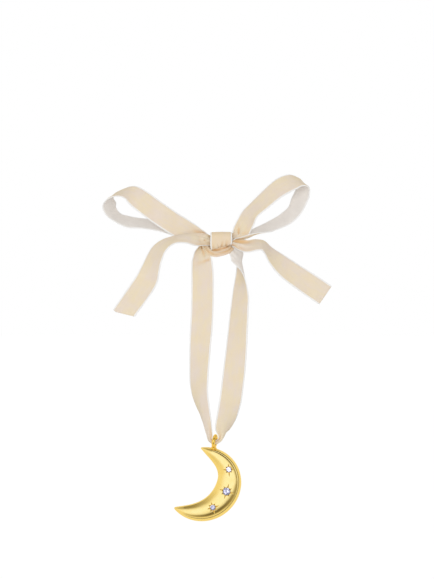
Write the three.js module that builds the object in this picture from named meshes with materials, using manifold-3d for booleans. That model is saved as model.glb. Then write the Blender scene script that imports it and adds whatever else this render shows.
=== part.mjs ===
// Moon ornament: a domed brass crescent with three star-set stones and a soldered ring,
// hung on a velvet ribbon that is tied in a bow.
// Millimetres, +Z up, seen from -Y. The origin is the hanging point between the two
// strands, just under the knot.
import * as THREE from "three";
import Module from "manifold-3d";
import { mergeVertices } from "three/addons/utils/BufferGeometryUtils.js";
import { ConvexGeometry } from "three/addons/geometries/ConvexGeometry.js";

const wasm = await Module();
wasm.setup();

// Ribbon
const RIBBON_WIDTH = 10;
const PILE_THICKNESS = 0.8;
const SELVEDGE_THICKNESS = 0.45;
const SELVEDGE_WIDTH = 0.5;
const PLEAT_HEIGHT = 1.5;
const PLEATS = 1.5;
const BIGHT_DIAMETER = 2.9;
const LEFT_TAIL_SLANT = THREE.MathUtils.degToRad(13.55);
const LEFT_TAIL_TRIM = 1.264;

// Hanging ring
const RING_OUTER = 6.6;
const RING_WIRE = 1.45;
const RING_YAW = THREE.MathUtils.degToRad(-13);
const FOOT_DIAMETER = 2.5;
const FOOT_HEIGHT = 0.9;
const RING_SINK = 0.25;
const RING_LEAN = THREE.MathUtils.degToRad(8);
const RING_SHARE = 0.0865;
const LAND_DEPTH = 0.35;
const LAND_MARGIN = 0.3;

// The ring's middle, from midway between the lower ends of the strands
const RING_ASIDE = 0.164;
const RING_DROP = 2.453;

// Crescent, in its own frame: u runs from the lower tip to the upper one, v outwards.
const MOON_LEAN = THREE.MathUtils.degToRad(23.9);
const OUTER_CENTRE = { u: 0.33, v: 7.8 };
const OUTER_LONG_RADIUS = 17.08;
const OUTER_SHORT_RADIUS = 16.16;
const OUTER_TURN = THREE.MathUtils.degToRad(29.7);
const TIP_REACH = 14.4;
const CROWN = { u: 2.3, v: 12.8 };
const TIP_ROUND = 0.5;
const EDGE_HEIGHT = 1.2;
const DOME_HEIGHT = 2.8;
const DOME_FALL = 0.62;
const CREST_SHARE = 0.52;
const RIM_WIDTH = 1.7;
const RIM_SHARE_LIMIT = 0.45;
const INNER_BEVEL = 0.3;
const BACK_Y = 1.5;
const MOON_SECTIONS = 44;

// Stones and their star settings
const CENTRE_STONE = 3.5;
const SIDE_STONE = 2.5;
const STONE_CLEARANCE = 0.2;
const STONE_SINK = 0.25;
const GROOVE_WIDTH = 0.75;
const GROOVE_DEPTH = 0.5;
const GRAIN_DIAMETER = 0.5;
const GRAIN_STRETCH = 4.5;

// Least gap between pieces that touch on the real object
const PIECE_GAP = 0.3;

const vec = (p) => new THREE.Vector3(p[0], p[1], p[2]);

// A closed solid from rings of points, each ring running the same way round.
function skin(rings, closed = false) {
  const size = rings[0].length;
  const positions = rings.flat().flatMap((p) => [p.x, p.y, p.z]);
  const index = [];
  const last = closed ? rings.length : rings.length - 1;
  for (let i = 0; i < last; i++) {
    const here = i * size;
    const next = ((i + 1) % rings.length) * size;
    for (let j = 0; j < size; j++) {
      const k = (j + 1) % size;
      index.push(here + j, here + k, next + k, here + j, next + k, next + j);
    }
  }
  if (!closed) {
    for (const end of [0, rings.length - 1]) {
      const centre = new THREE.Vector3();
      rings[end].forEach((p) => centre.addScaledVector(p, 1 / size));
      positions.push(centre.x, centre.y, centre.z);
      const middle = positions.length / 3 - 1;
      for (let j = 0; j < size; j++) {
        const a = end * size + j;
        const b = end * size + ((j + 1) % size);
        if (end === 0) index.push(middle, b, a);
        else index.push(middle, a, b);
      }
    }
  }
  const geometry = new THREE.BufferGeometry();
  geometry.setAttribute("position", new THREE.Float32BufferAttribute(positions, 3));
  geometry.setIndex(index);
  return facingOut(geometry);
}

function signedVolume(geometry) {
  const at = geometry.attributes.position;
  const corner = [0, 1, 2].map(() => new THREE.Vector3());
  let volume = 0;
  for (let i = 0; i < geometry.index.count; i += 3) {
    corner.forEach((c, j) => c.fromBufferAttribute(at, geometry.index.getX(i + j)));
    volume += corner[0].dot(corner[1].clone().cross(corner[2])) / 6;
  }
  return volume;
}

function facingOut(geometry) {
  if (signedVolume(geometry) < 0) {
    const index = geometry.index.array;
    for (let i = 0; i < index.length; i += 3) {
      [index[i], index[i + 1]] = [index[i + 1], index[i]];
    }
  }
  geometry.computeVertexNormals();
  return geometry;
}

function toSolid(geometry) {
  const bare = new THREE.BufferGeometry();
  bare.setAttribute("position", geometry.attributes.position.clone());
  if (geometry.index) bare.setIndex(geometry.index.clone());
  const merged = facingOut(mergeVertices(bare, 1e-4));
  return new wasm.Manifold(new wasm.Mesh({
    numProp: 3,
    vertProperties: new Float32Array(merged.attributes.position.array),
    triVerts: new Uint32Array(merged.index.array),
  }));
}

function fromSolid(solid) {
  const mesh = solid.getMesh();
  const geometry = new THREE.BufferGeometry();
  const points = new Float32Array(mesh.vertProperties);
  geometry.setAttribute("position", new THREE.BufferAttribute(points, 3));
  geometry.setIndex(new THREE.BufferAttribute(new Uint32Array(mesh.triVerts), 1));
  geometry.computeVertexNormals();
  return geometry;
}

// Ribbon

// The stations are drawn for a ribbon 10 mm wide and scale with it. The first numbers of
// each are its lengths.
const BOW_SCALE = RIBBON_WIDTH / 10;

function scaled(stations, lengths) {
  return stations.map((s) => s.map((n, i) => (i < lengths ? n * BOW_SCALE : n)));
}

// The places across the ribbon where its section has points, as shares of the width.
const SELVEDGE_SHARE = 0.5 - SELVEDGE_WIDTH / RIBBON_WIDTH;
const ACROSS_SHARES = [-0.5, -SELVEDGE_SHARE, -0.24, 0, 0.24, SELVEDGE_SHARE, 0.5];

// One stretch of ribbon. A station is [x, y, z, ax, ay, az, spread, curl]: the middle of the
// ribbon, the direction across it, the share of its width that lies open (less where it
// is gathered into pleats) and how far its edges curl towards the velvet side, in degrees.
function ribbon(stations, stepsBetween, closed = false) {
  const curve = (pick) => new THREE.CatmullRomCurve3(stations.map(pick), closed, "centripetal");
  const middle = curve((s) => vec(s));
  const across = curve((s) => new THREE.Vector3(s[3], s[4], s[5]));
  const shape = curve((s, i) => new THREE.Vector3(s[6], (s[7] ?? 0) / 100, i * 1e-3));
  const steps = (closed ? stations.length : stations.length - 1) * stepsBetween;
  const rings = [];
  for (let i = 0; i <= steps - (closed ? 1 : 0); i++) {
    const t = i / steps;
    const place = middle.getPoint(t);
    const tangent = middle.getTangent(t);
    const width = across.getPoint(t);
    width.addScaledVector(tangent, -width.dot(tangent)).normalize();
    const face = tangent.clone().cross(width);
    const { x: spread, y: curl } = shape.getPoint(t);
    rings.push(ribbonSection(place, width, face, spread, THREE.MathUtils.degToRad(curl * 100)));
  }
  return skin(rings, closed);
}

function ribbonSection(place, width, face, spread, curl) {
  const open = RIBBON_WIDTH * spread;
  const pleat = PLEAT_HEIGHT * (1 - spread) / 2;
  const half = { front: [], back: [] };
  for (const share of ACROSS_SHARES) {
    const edge = Math.abs(share) === 0.5;
    const thickness = edge ? SELVEDGE_THICKNESS : PILE_THICKNESS;
    const angle = share * curl;
    const bent = Math.abs(curl) > 0.02;
    const along = bent ? (open / curl) * Math.sin(angle) : open * share;
    const rise = bent ? (open / curl) * (1 - Math.cos(angle)) : 0;
    const outward = face.clone().multiplyScalar(Math.cos(angle))
      .addScaledVector(width, -Math.sin(angle));
    const wave = pleat * Math.cos(2 * Math.PI * PLEATS * share);
    const point = place.clone().addScaledVector(width, along).addScaledVector(face, rise);
    half.front.push(point.clone().addScaledVector(outward, wave + thickness / 2));
    half.back.unshift(point.clone().addScaledVector(outward, wave - thickness / 2));
  }
  return [...half.front, ...half.back];
}

// The same piece cut off straight through at a slant, a little above its last station.
function cutSlanted(geometry, [x, y, z], slant, trim) {
  const waste = new THREE.BoxGeometry(RIBBON_WIDTH * 3, RIBBON_WIDTH * 3, RIBBON_WIDTH);
  waste.translate(0, 0, -RIBBON_WIDTH / 2);
  waste.rotateY(slant);
  waste.translate(x, y, z + trim);
  return fromSolid(toSolid(geometry).subtract(toSolid(waste)));
}

// A bunch of ribbon as a rod. A station is [x, y, z, half depth in y, half height].
function bunch(stations, stepsBetween, sides = 12) {
  const middle = new THREE.CatmullRomCurve3(stations.map((s) => vec(s)), false, "centripetal");
  const size = new THREE.CatmullRomCurve3(
    stations.map((s, i) => new THREE.Vector3(s[3], s[4], i * 1e-3)), false, "centripetal");
  const steps = (stations.length - 1) * stepsBetween;
  const rings = [];
  for (let i = 0; i <= steps; i++) {
    const place = middle.getPoint(i / steps);
    const tangent = middle.getTangent(i / steps);
    const deep = new THREE.Vector3(0, 1, 0).addScaledVector(tangent, -tangent.y).normalize();
    const tall = tangent.clone().cross(deep);
    const { x: halfDepth, y: halfHeight } = size.getPoint(i / steps);
    const ring = [];
    for (let j = 0; j < sides; j++) {
      const angle = (2 * Math.PI * j) / sides;
      ring.push(place.clone().addScaledVector(deep, halfDepth * Math.cos(angle))
        .addScaledVector(tall, halfHeight * Math.sin(angle)));
    }
    rings.push(ring);
  }
  return skin(rings);
}

const LEFT_LOOP = [
  [-3.6, 0, 7.3, 0, -0.2, -0.98, 0.46],
  [-6.2, -0.2, 8.7, 0, -0.3, -0.95, 0.58],
  [-10.7, -0.3, 10.8, -0.35, -0.3, -0.87, 0.82],
  [-17.2, -0.8, 13.8, -0.51, -0.25, -0.82, 1],
  [-27.4, -1.8, 20.6, -0.56, -0.19, -0.81, 1],
  [-33.4, -2, 25, -0.57, -0.28, -0.77, 1],
  [-38.7, -1.7, 27.9, -0.67, -0.3, -0.68, 1],
  [-43.2, -0.8, 28.3, -0.76, -0.45, -0.48, 1],
  [-46.6, 0.1, 26.2, -0.7, -0.6, -0.35, 1],
  [-47.7, 0.8, 23.3, -0.56, -0.77, -0.31, 1],
  [-46.8, 1.5, 20.2, -0.38, -0.84, -0.4, 1],
  [-43.6, 2, 17.3, -0.22, -0.89, -0.4, 1],
  [-39.3, 2.5, 15.7, -0.09, -0.85, -0.51, 1],
  [-34, 3.2, 15.1, -0.09, -0.88, -0.47, 1],
  [-26, 4.2, 14, 0, -0.85, -0.5, 0.95],
  [-14.4, 4.2, 11, 0, -0.6, -0.8, 0.7],
  [-7, 3, 8.6, 0, -0.25, -0.97, 0.55],
  [-3.5, 2.5, 7.3, 0, -0.1, -1, 0.44],
];

const RIGHT_LOOP = [
  [8.5, 1.7, 8.9, -0.2, 0.2, 1, 0.3],
  [9.6, 1.5, 11.2, -0.5, 0.5, 0.6, 0.5],
  [12.6, 0, 15.7, -0.74, 0.62, 0.13, 0.82],
  [15.6, -1.2, 19.7, -0.61, 0.74, 0.29, 1],
  [21, -2.1, 24.8, -0.52, 0.68, 0.51, 1],
  [26.8, -2.4, 29.8, -0.46, 0.59, 0.66, 1],
  [30.5, -2, 32.1, -0.38, 0.57, 0.73, 1],
  [33.9, -1.2, 33.3, -0.32, 0.65, 0.69, 1],
  [37.1, -0.3, 33.2, -0.36, 0.84, 0.4, 1],
  [38.8, 0.6, 31.4, -0.52, 0.83, 0.18, 1],
  [38.3, 1.3, 28.4, -0.64, 0.74, 0.18, 1],
  [36.7, 1.8, 24.9, -0.67, 0.72, 0.18, 1],
  [34.6, 2.2, 20.6, -0.56, 0.78, 0.29, 1],
  [30.8, 2.6, 17.1, -0.42, 0.79, 0.44, 1],
  [24.2, 2.7, 13.7, -0.27, 0.86, 0.43, 1],
  [17.6, 1.8, 10.9, -0.21, 0.8, 0.5, 0.85],
  [11.4, -0.2, 8.9, -0.1, 0.55, 0.83, 0.55],
  [7.7, -0.8, 8.1, -0.05, 0.15, 1, 0.36],
];

const LEFT_TAIL = [
  [-3.3, -2.6, 7.4, 0, -0.15, -0.98, 0.48],
  [-6, -4, 7.9, 0, -0.3, -0.95, 0.62],
  [-9.4, -5.8, 8.3, 0, -0.65, -0.76, 0.8],
  [-13.6, -7.2, 8.8, 0, -0.86, -0.51, 0.9],
  [-18.3, -7.8, 7.9, 0.16, -0.93, -0.34, 1],
  [-22.5, -7.8, 5.7, 0.41, -0.86, -0.3, 1],
  [-25.5, -7.5, 2.8, 0.57, -0.77, -0.29, 1],
  [-27.5, -7, -1, 0.68, -0.67, -0.29, 1],
  [-29, -6.4, -5.3, 0.81, -0.54, -0.22, 1],
  [-30.8, -5.7, -10.1, 0.91, -0.2, -0.37, 1],
  [-34.3, -4.8, -15.5, 0.92, 0, -0.39, 1],
  [-38.3, -4, -21.1, 0.83, -0.2, -0.53, 1],
  [-42, -3.2, -26.3, 0.78, -0.24, -0.57, 1],
];

const RIGHT_TAIL = [
  [7.8, -3.7, 4.8, -0.3, 0.4, 0.85, 0.5],
  [10.4, -4.6, 4.2, -0.2, 0.55, 0.8, 0.65],
  [13.8, -5.4, 4.4, -0.1, 0.74, 0.66, 0.8],
  [17.6, -5.9, 5.2, 0, 0.84, 0.54, 0.95],
  [20.5, -6.1, 4.9, 0.12, 0.88, 0.45, 1],
  [22.8, -6, 2.7, 0.25, 0.88, 0.4, 1],
  [25.4, -5.8, -0.3, 0.38, 0.73, 0.56, 1],
  [28.3, -5.4, -3, 0.47, 0.55, 0.69, 1],
  [32, -5, -6, 0.49, 0.37, 0.79, 1],
  [38.1, -4.3, -10.2, 0.51, 0.2, 0.84, 1],
  [43.4, -3.8, -13.7, 0.52, 0, 0.85, 1],
  [48.2, -3.4, -17, 0.53, 0, 0.85, 1],
];

const LEFT_STRAND = [
  [-6, 0.4, 4.6, 0.86, -0.5, -0.1, 0.42],
  [-6.4, 0.1, 2, 0.93, -0.36, 0, 0.75],
  [-6.4, -0.2, -1.8, 0.97, -0.25, 0, 0.95],
  [-6.2, -0.2, -10.2, 1, 0, 0, 1],
  [-6.4, 0, -25.3, 1, 0, 0, 1],
  [-7.3, 0, -40.9, 0.94, -0.35, 0, 1],
  [-7.8, 0, -54.7, 0.83, -0.56, 0, 1],
  [-7.7, 0, -61.3, 0.74, -0.67, 0, 1, -30],
  [-7, 0, -67.8, 0.55, -0.83, 0, 0.9, -90],
  [-5.6, 0, -74, 0.3, -0.95, 0, 0.7, -140],
  [-4.2, 0, -79.22, 0.1, -0.99, 0, 0.45, -170],
];

const RIGHT_STRAND = [
  [6.6, 0.9, 2.4, -0.9, -0.4, 0.2, 0.6, 0],
  [9.6, 0.6, 0.8, -0.6, -0.8, 0.2, 0.85, 70],
  [11.4, 0.2, -3.2, 0, -1, 0, 1, 130],
  [11.6, 0, -7.5, 0.35, -0.93, 0, 1, 80],
  [10.6, 0, -12.9, 0.61, -0.79, 0, 1, 20],
  [10.6, 0, -19.1, 0.76, -0.64, 0, 1],
  [9.6, 0, -31.6, 0.86, -0.51, 0, 1],
  [8.6, 0, -44, 0.96, -0.29, 0, 1],
  [7.4, 0, -54.7, 1, 0, 0, 1],
  [6.4, 0, -62.7, 1, 0.1, 0, 1],
  [5.8, 0, -67.1, 0.94, 0.34, 0, 1, -20],
  [5.4, 0, -72, 0.7, 0.7, 0, 0.9, -60],
  [4.4, 0, -76.6, 0.35, 0.93, 0, 0.65, -120],
  [2.95, 0, -79.76, 0.1, 0.99, 0, 0.45, -170],
];

const KNOT_BAND = [
  [2.1, -2.6, 10.5, 1, 0, 0, 0.96],
  [2.1, -4.1, 9.4, 1, 0, 0, 0.96],
  [2.1, -4.5, 7.4, 0.99, 0, 0.1, 0.97],
  [2.1, -3.9, 5.2, 0.96, 0, 0.27, 0.99],
  [2.1, -1.6, 4.3, 0.96, 0, 0.27, 0.99],
  [2.1, 1.4, 4.3, 0.96, 0, 0.27, 0.99],
  [2.1, 3.6, 5.2, 0.97, 0, 0.24, 0.99],
  [2.1, 4.4, 7.1, 0.99, 0, 0.1, 0.98],
  [2.1, 3.9, 9.2, 1, 0, 0, 0.96],
  [2.1, 2, 10.4, 1, 0, 0, 0.96],
  [2.1, -0.3, 10.7, 1, 0, 0, 0.96],
];

const KNOT_CORE = [
  [-1.9, 0, 7.1, 2.9, 2.5],
  [2, 0, 7.6, 3.2, 2.3],
  [6.2, 0, 8.1, 3, 1.5],
];

const HALF_KNOT = [
  [-1.7, -0.2, 1.2, 1.6, 0.7],
  [0, -0.8, 1.4, 2.5, 1.1],
  [2.8, -0.8, 2, 2.6, 1.1],
  [5, -0.4, 2.7, 1.8, 0.9],
];

// Hanging ring

const RING_TUBE = RING_WIRE / 2;
const RING_CENTRE_RISE = RING_OUTER / 2 - RING_SINK;

// A ring with a flared foot. Its own frame has the foot's seat at z = 0 and the wire
// standing up in the YZ plane.
function hangingRing() {
  const wire = new THREE.TorusGeometry(RING_OUTER / 2 - RING_TUBE, RING_TUBE, 10, 36);
  wire.rotateY(Math.PI / 2);
  wire.translate(0, 0, RING_CENTRE_RISE);
  const flare = [
    [0, 0],
    [FOOT_DIAMETER * 0.5, 0],
    [FOOT_DIAMETER * 0.4, FOOT_HEIGHT * 0.3],
    [FOOT_DIAMETER * 0.3, FOOT_HEIGHT],
    [0, FOOT_HEIGHT],
  ].map(([r, z]) => new THREE.Vector2(r, z));
  const foot = new THREE.LatheGeometry(flare, 16);
  foot.rotateX(Math.PI / 2);
  const below = new THREE.BoxGeometry(RING_OUTER, RING_OUTER, RING_OUTER);
  below.translate(0, 0, -RING_OUTER / 2);
  return fromSolid(toSolid(wire).add(toSolid(foot)).subtract(toSolid(below)));
}

// Crescent

const uv = (u, v) => new THREE.Vector2(u, v);
const INNER_UPPER = new THREE.CubicBezierCurve(
  uv(TIP_REACH, 0), uv(TIP_REACH * 0.75, CROWN.v * 0.6), uv(TIP_REACH * 0.68, CROWN.v),
  uv(CROWN.u, CROWN.v));
const INNER_LOWER = new THREE.CubicBezierCurve(
  uv(CROWN.u, CROWN.v), uv(-TIP_REACH * 0.57, CROWN.v), uv(-TIP_REACH * 0.82, CROWN.v * 0.24),
  uv(-TIP_REACH, 0));

function innerEdge(t) {
  return t < 0.5 ? INNER_UPPER.getPointAt(t * 2) : INNER_LOWER.getPointAt(t * 2 - 1);
}

// The outer edge is one elliptical arc from tip to tip.
function ellipseAngle(u, v) {
  const at = uv(u - OUTER_CENTRE.u, v - OUTER_CENTRE.v).rotateAround(uv(0, 0), -OUTER_TURN);
  return Math.atan2(at.y / OUTER_SHORT_RADIUS, at.x / OUTER_LONG_RADIUS);
}

function outerPoint(angle) {
  const at = uv(OUTER_LONG_RADIUS * Math.cos(angle), OUTER_SHORT_RADIUS * Math.sin(angle));
  return at.rotateAround(uv(0, 0), OUTER_TURN).add(uv(OUTER_CENTRE.u, OUTER_CENTRE.v));
}

const START_ANGLE = ellipseAngle(TIP_REACH, 0);
const END_ANGLE = THREE.MathUtils.euclideanModulo(ellipseAngle(-TIP_REACH, 0), 2 * Math.PI);

function outerEdge(t) {
  return outerPoint(THREE.MathUtils.lerp(START_ANGLE, END_ANGLE, t));
}

const WIDEST = outerEdge(0.5).distanceTo(innerEdge(0.5));

const rimShare = (width) => Math.min(RIM_SHARE_LIMIT, RIM_WIDTH / width);

// How high the dome stands above the edge at a share of the way across the crescent. It
// falls gently from its crest to a crease, and steeply over the rim outside that.
function domeRise(share, width) {
  const crest = DOME_HEIGHT * Math.min(1, width / WIDEST) ** 0.8;
  const rim = rimShare(width);
  const inside = Math.min(share, 1 - rim);
  const dome = crest * (1 - DOME_FALL * ((inside - CREST_SHARE) / CREST_SHARE) ** 2);
  const turn = Math.max(0, (share - (1 - rim)) / rim);
  return dome * Math.sqrt(Math.max(0, 1 - turn ** 2));
}

// One section of the crescent, from the inner edge's foot over the dome and back.
function moonSection(t) {
  const from = innerEdge(t);
  const to = outerEdge(t);
  const width = Math.max(from.distanceTo(to), TIP_ROUND);
  const rim = rimShare(width);
  const bevel = Math.min(0.2, INNER_BEVEL / width);
  const shares = [0, bevel, 0.2, 0.36, CREST_SHARE, (CREST_SHARE + 1 - rim) / 2, 1 - rim,
    1 - rim * 0.75, 1 - rim * 0.45, 1 - rim * 0.18, 1];
  const direction = to.clone().sub(from);
  if (direction.length() < 1e-6) direction.set(0, 1);
  direction.normalize();
  const middle = from.clone().add(to).multiplyScalar(0.5);
  const edge = EDGE_HEIGHT * Math.min(1, 0.55 + width / WIDEST);
  const point = (share, height) => {
    const at = middle.clone().addScaledVector(direction, (share - 0.5) * width);
    return new THREE.Vector3(at.y, BACK_Y - height, at.x);
  };
  const top = shares.map((share, i) => {
    const rise = domeRise(share, width);
    const cut = i === 0 ? INNER_BEVEL * 0.8 : 0;
    return point(share, edge + Math.max(0, rise - cut));
  });
  return [...top, point(1, 0), point(0, 0)];
}

function moonBlank() {
  const sections = [];
  for (let i = 0; i <= MOON_SECTIONS; i++) {
    const even = i / MOON_SECTIONS;
    const crowded = 0.5 - 0.5 * Math.cos(Math.PI * even);
    sections.push(moonSection(THREE.MathUtils.lerp(0.012, 0.988, 0.35 * even + 0.65 * crowded)));
  }
  return skin(sections);
}

// Where each stone sits, as shares of the way along and across the crescent, its size, the
// turn of its star in degrees and the reach of the star's eight rays, in stone diameters.
const SETTINGS = [
  {
    name: "upper_stone", along: 0.311, across: 0.544, size: SIDE_STONE, turn: 28,
    rays: [1.04, 0.76, 1.04, 0.76, 1.36, 0.76, 1, 0.76],
  },
  {
    name: "centre_stone", along: 0.5, across: 0.483, size: CENTRE_STONE, turn: 7,
    rays: [1.03, 0.77, 1.03, 0.77, 1.03, 0.77, 1.03, 0.77],
  },
  {
    name: "lower_stone", along: 0.667, across: 0.492, size: SIDE_STONE, turn: 40,
    rays: [1.04, 0.88, 1.04, 0.88, 1.2, 0.88, 1.2, 0.88],
  },
];

// Height of the face above the back at a place on the crescent, by search across it.
function faceHeight(u, v) {
  let best = { miss: Infinity, height: 0 };
  for (let t = 0.1; t < 0.9; t += 0.002) {
    const from = innerEdge(t);
    const to = outerEdge(t);
    const span = to.clone().sub(from);
    const width = span.length();
    const share = span.dot(uv(u, v).sub(from)) / width ** 2;
    const miss = from.clone().addScaledVector(span, share).distanceTo(uv(u, v));
    if (miss < best.miss) best = { miss, height: EDGE_HEIGHT + domeRise(share, width) };
  }
  return best.height;
}

// A round brilliant with its girdle at z = 0 and its table towards +z.
function brilliant(diameter) {
  const r = diameter / 2;
  const level = (count, radius, z, turn = 0) => Array.from({ length: count }, (_, i) => {
    const angle = (2 * Math.PI * (i + turn)) / count;
    return new THREE.Vector3(radius * Math.cos(angle), radius * Math.sin(angle), z);
  });
  return new ConvexGeometry([
    ...level(8, r * 0.56, r * 0.32),
    ...level(8, r * 0.8, r * 0.19, 0.5),
    ...level(16, r, r * 0.03),
    ...level(16, r, -r * 0.03),
    ...level(8, r * 0.24, -r * 0.68, 0.5),
    new THREE.Vector3(0, 0, -r * 0.88),
  ]);
}

// The seat that a stone drops into: a straight wall and a cone below, with room round it.
function stoneSeat(diameter) {
  const r = diameter / 2 + STONE_CLEARANCE;
  const deep = diameter * 0.46 + STONE_CLEARANCE;
  const profile = [[0, -deep], [r * 0.3, -deep * 0.78], [r, -r * 0.06], [r, 2], [0, 2]];
  const seat = new THREE.LatheGeometry(profile.map(([a, z]) => new THREE.Vector2(a, z)), 24);
  seat.rotateX(Math.PI / 2);
  return seat;
}

// A V groove that runs out of the seat and tapers to nothing.
function starRay(start, reach) {
  const w = GROOVE_WIDTH / 2;
  const lift = 0.6;
  return new ConvexGeometry([
    new THREE.Vector3(start, 0, -GROOVE_DEPTH),
    new THREE.Vector3(start, w, lift * 0.1),
    new THREE.Vector3(start, -w, lift * 0.1),
    new THREE.Vector3(start, w * 1.6, lift),
    new THREE.Vector3(start, -w * 1.6, lift),
    new THREE.Vector3(reach, 0, -0.02),
    new THREE.Vector3(reach, 0.06, lift),
    new THREE.Vector3(reach, -0.06, lift),
  ]);
}

// The way a setting faces: its place on the dome and the dome's normal there.
function settingFrame({ along: ahead, across }) {
  const { x: u, y: v } = innerEdge(ahead).lerp(outerEdge(ahead), across);
  const step = 0.4;
  const height = faceHeight(u, v);
  const slopeU = (faceHeight(u + step, v) - faceHeight(u - step, v)) / (2 * step);
  const slopeV = (faceHeight(u, v + step) - faceHeight(u, v - step)) / (2 * step);
  const outward = new THREE.Vector3(-slopeV, -1, -slopeU).normalize();
  const along = new THREE.Vector3(0, 0, 1).addScaledVector(outward, -outward.z).normalize();
  const side = outward.clone().cross(along);
  return new THREE.Matrix4().makeBasis(along, side, outward)
    .setPosition(v, BACK_Y - height, u);
}

function moonBody() {
  let solid = toSolid(moonBlank());
  for (const setting of SETTINGS) {
    const frame = settingFrame(setting);
    const place = (geometry) => toSolid(geometry.applyMatrix4(frame));
    const r = setting.size / 2;
    setting.rays.forEach((reach, i) => {
      const turn = new THREE.Matrix4().makeRotationZ(
        THREE.MathUtils.degToRad(setting.turn) + (i * Math.PI) / 4);
      const ray = starRay(r * 0.7, reach * setting.size);
      solid = solid.subtract(place(ray.applyMatrix4(turn)));
    });
    for (let i = 0; i < 8; i++) {
      const angle = THREE.MathUtils.degToRad(setting.turn + 22.5) + (i * Math.PI) / 4;
      const grain = new THREE.IcosahedronGeometry(GRAIN_DIAMETER / 2, 0);
      const out = r + STONE_CLEARANCE + GRAIN_DIAMETER * 0.35;
      grain.scale(1, 1, GRAIN_STRETCH);
      grain.translate(out * Math.cos(angle), out * Math.sin(angle), -GRAIN_DIAMETER);
      solid = solid.add(place(grain));
    }
    const seat = stoneSeat(setting.size);
    seat.translate(0, 0, -STONE_SINK);
    solid = solid.subtract(place(seat));
  }
  const landWidth = FOOT_DIAMETER + 2 * LAND_MARGIN;
  const land = new THREE.BoxGeometry(landWidth, FOOT_DIAMETER * 3, FOOT_DIAMETER);
  land.translate(0, 0, FOOT_DIAMETER / 2 - LAND_DEPTH);
  return fromSolid(solid.subtract(toSolid(land.applyMatrix4(footFrame()))));
}

// The frame that the ring stands in: its origin is on the crescent's outer edge and its
// z axis runs up the ring, which leans a little from the vertical as the moon hangs.
function footFrame() {
  const foot = outerEdge(RING_SHARE);
  const lean = RING_LEAN - MOON_LEAN;
  return new THREE.Matrix4().makeRotationY(lean).setPosition(foot.y, 0, foot.x);
}

// Materials
const gold = new THREE.MeshStandardMaterial({ color: 0xe2b64a, metalness: 1, roughness: 0.12 });
const crystal = new THREE.MeshStandardMaterial({ color: 0xeeeaf8, metalness: 0, roughness: 0.02 });
const velvet = new THREE.MeshStandardMaterial({ color: 0xe9d9c0, metalness: 0, roughness: 0.9 });

function part(name, geometry, material) {
  const mesh = new THREE.Mesh(geometry, material);
  mesh.name = name;
  return mesh;
}

const ornament = new THREE.Group();

const pendant = new THREE.Group();
pendant.rotation.y = MOON_LEAN;
pendant.add(part("moon_body", moonBody(), gold));
for (const setting of SETTINGS) {
  const stone = part(setting.name, brilliant(setting.size), crystal);
  stone.applyMatrix4(settingFrame(setting));
  stone.translateZ(-STONE_SINK);
  pendant.add(stone);
}
const ring = part("hanging_ring", hangingRing(), gold);
ring.applyMatrix4(footFrame());
ring.translateZ(PIECE_GAP - LAND_DEPTH);
ring.rotateZ(RING_YAW);
pendant.add(ring);
ornament.add(pendant);

// The pendant hangs where its ring meets the ends of the strands.
const leftEnd = vec(scaled(LEFT_STRAND, 3).at(-1));
const rightEnd = vec(scaled(RIGHT_STRAND, 3).at(-1));
const ringMiddle = leftEnd.clone().add(rightEnd).multiplyScalar(0.5)
  .add(new THREE.Vector3(-RING_ASIDE, 0, -RING_DROP));
pendant.updateMatrixWorld(true);
const ringAtFirst = new THREE.Vector3(0, 0, RING_CENTRE_RISE).applyMatrix4(ring.matrixWorld);
pendant.position.copy(ringMiddle).sub(ringAtFirst);

// The bight of ribbon in the ring, one clearance under the top of the ring's hole
const holeTop = ringMiddle.z + RING_OUTER / 2 - RING_WIRE;
const bightZ = holeTop - PIECE_GAP - BIGHT_DIAMETER / 2;
const bightHalf = BIGHT_DIAMETER / 2;
const BIGHT = [
  [leftEnd.x + PIECE_GAP * 1.2, 0, leftEnd.z - PIECE_GAP * 2.9, bightHalf * 0.9, bightHalf * 0.9],
  [ringMiddle.x - 1.3, 0, bightZ + 0.05, bightHalf * 0.96, bightHalf * 0.96],
  [ringMiddle.x, 0, bightZ - 0.15, bightHalf * 0.96, bightHalf * 0.96],
  [ringMiddle.x + 1.3, 0, bightZ - 0.05, bightHalf * 0.96, bightHalf * 0.96],
  [rightEnd.x - PIECE_GAP * 1.8, 0, rightEnd.z - PIECE_GAP * 2.43, bightHalf * 0.9, bightHalf * 0.9],
];

ornament.add(part("ribbon_gather", bunch(BIGHT, 3), velvet));
ornament.add(part("left_strand", ribbon(scaled(LEFT_STRAND, 3), 3), velvet));
ornament.add(part("right_strand", ribbon(scaled(RIGHT_STRAND, 3), 3), velvet));
ornament.add(part("half_knot", bunch(scaled(HALF_KNOT, 5), 4), velvet));
ornament.add(part("knot_core", bunch(scaled(KNOT_CORE, 5), 4), velvet));
ornament.add(part("knot_band", ribbon(scaled(KNOT_BAND, 3), 2, true), velvet));
ornament.add(part("left_loop", ribbon(scaled(LEFT_LOOP, 3), 3), velvet));
ornament.add(part("right_loop", ribbon(scaled(RIGHT_LOOP, 3), 3), velvet));
const leftTailRows = scaled(LEFT_TAIL, 3);
const leftTail = cutSlanted(
  ribbon(leftTailRows, 3), leftTailRows.at(-1), LEFT_TAIL_SLANT, LEFT_TAIL_TRIM);
ornament.add(part("left_tail", leftTail, velvet));
ornament.add(part("right_tail", ribbon(scaled(RIGHT_TAIL, 3), 3), velvet));

export default ornament;
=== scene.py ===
"""Moon christmas ornament: a polished crescent with three star-set stones, hung from a
soldered ring on a velvet ribbon that is tied in a bow."""

import math

import bpy
import numpy as np
from bpy.props import FloatProperty, FloatVectorProperty, PointerProperty
from mathutils import Matrix, Vector


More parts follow.
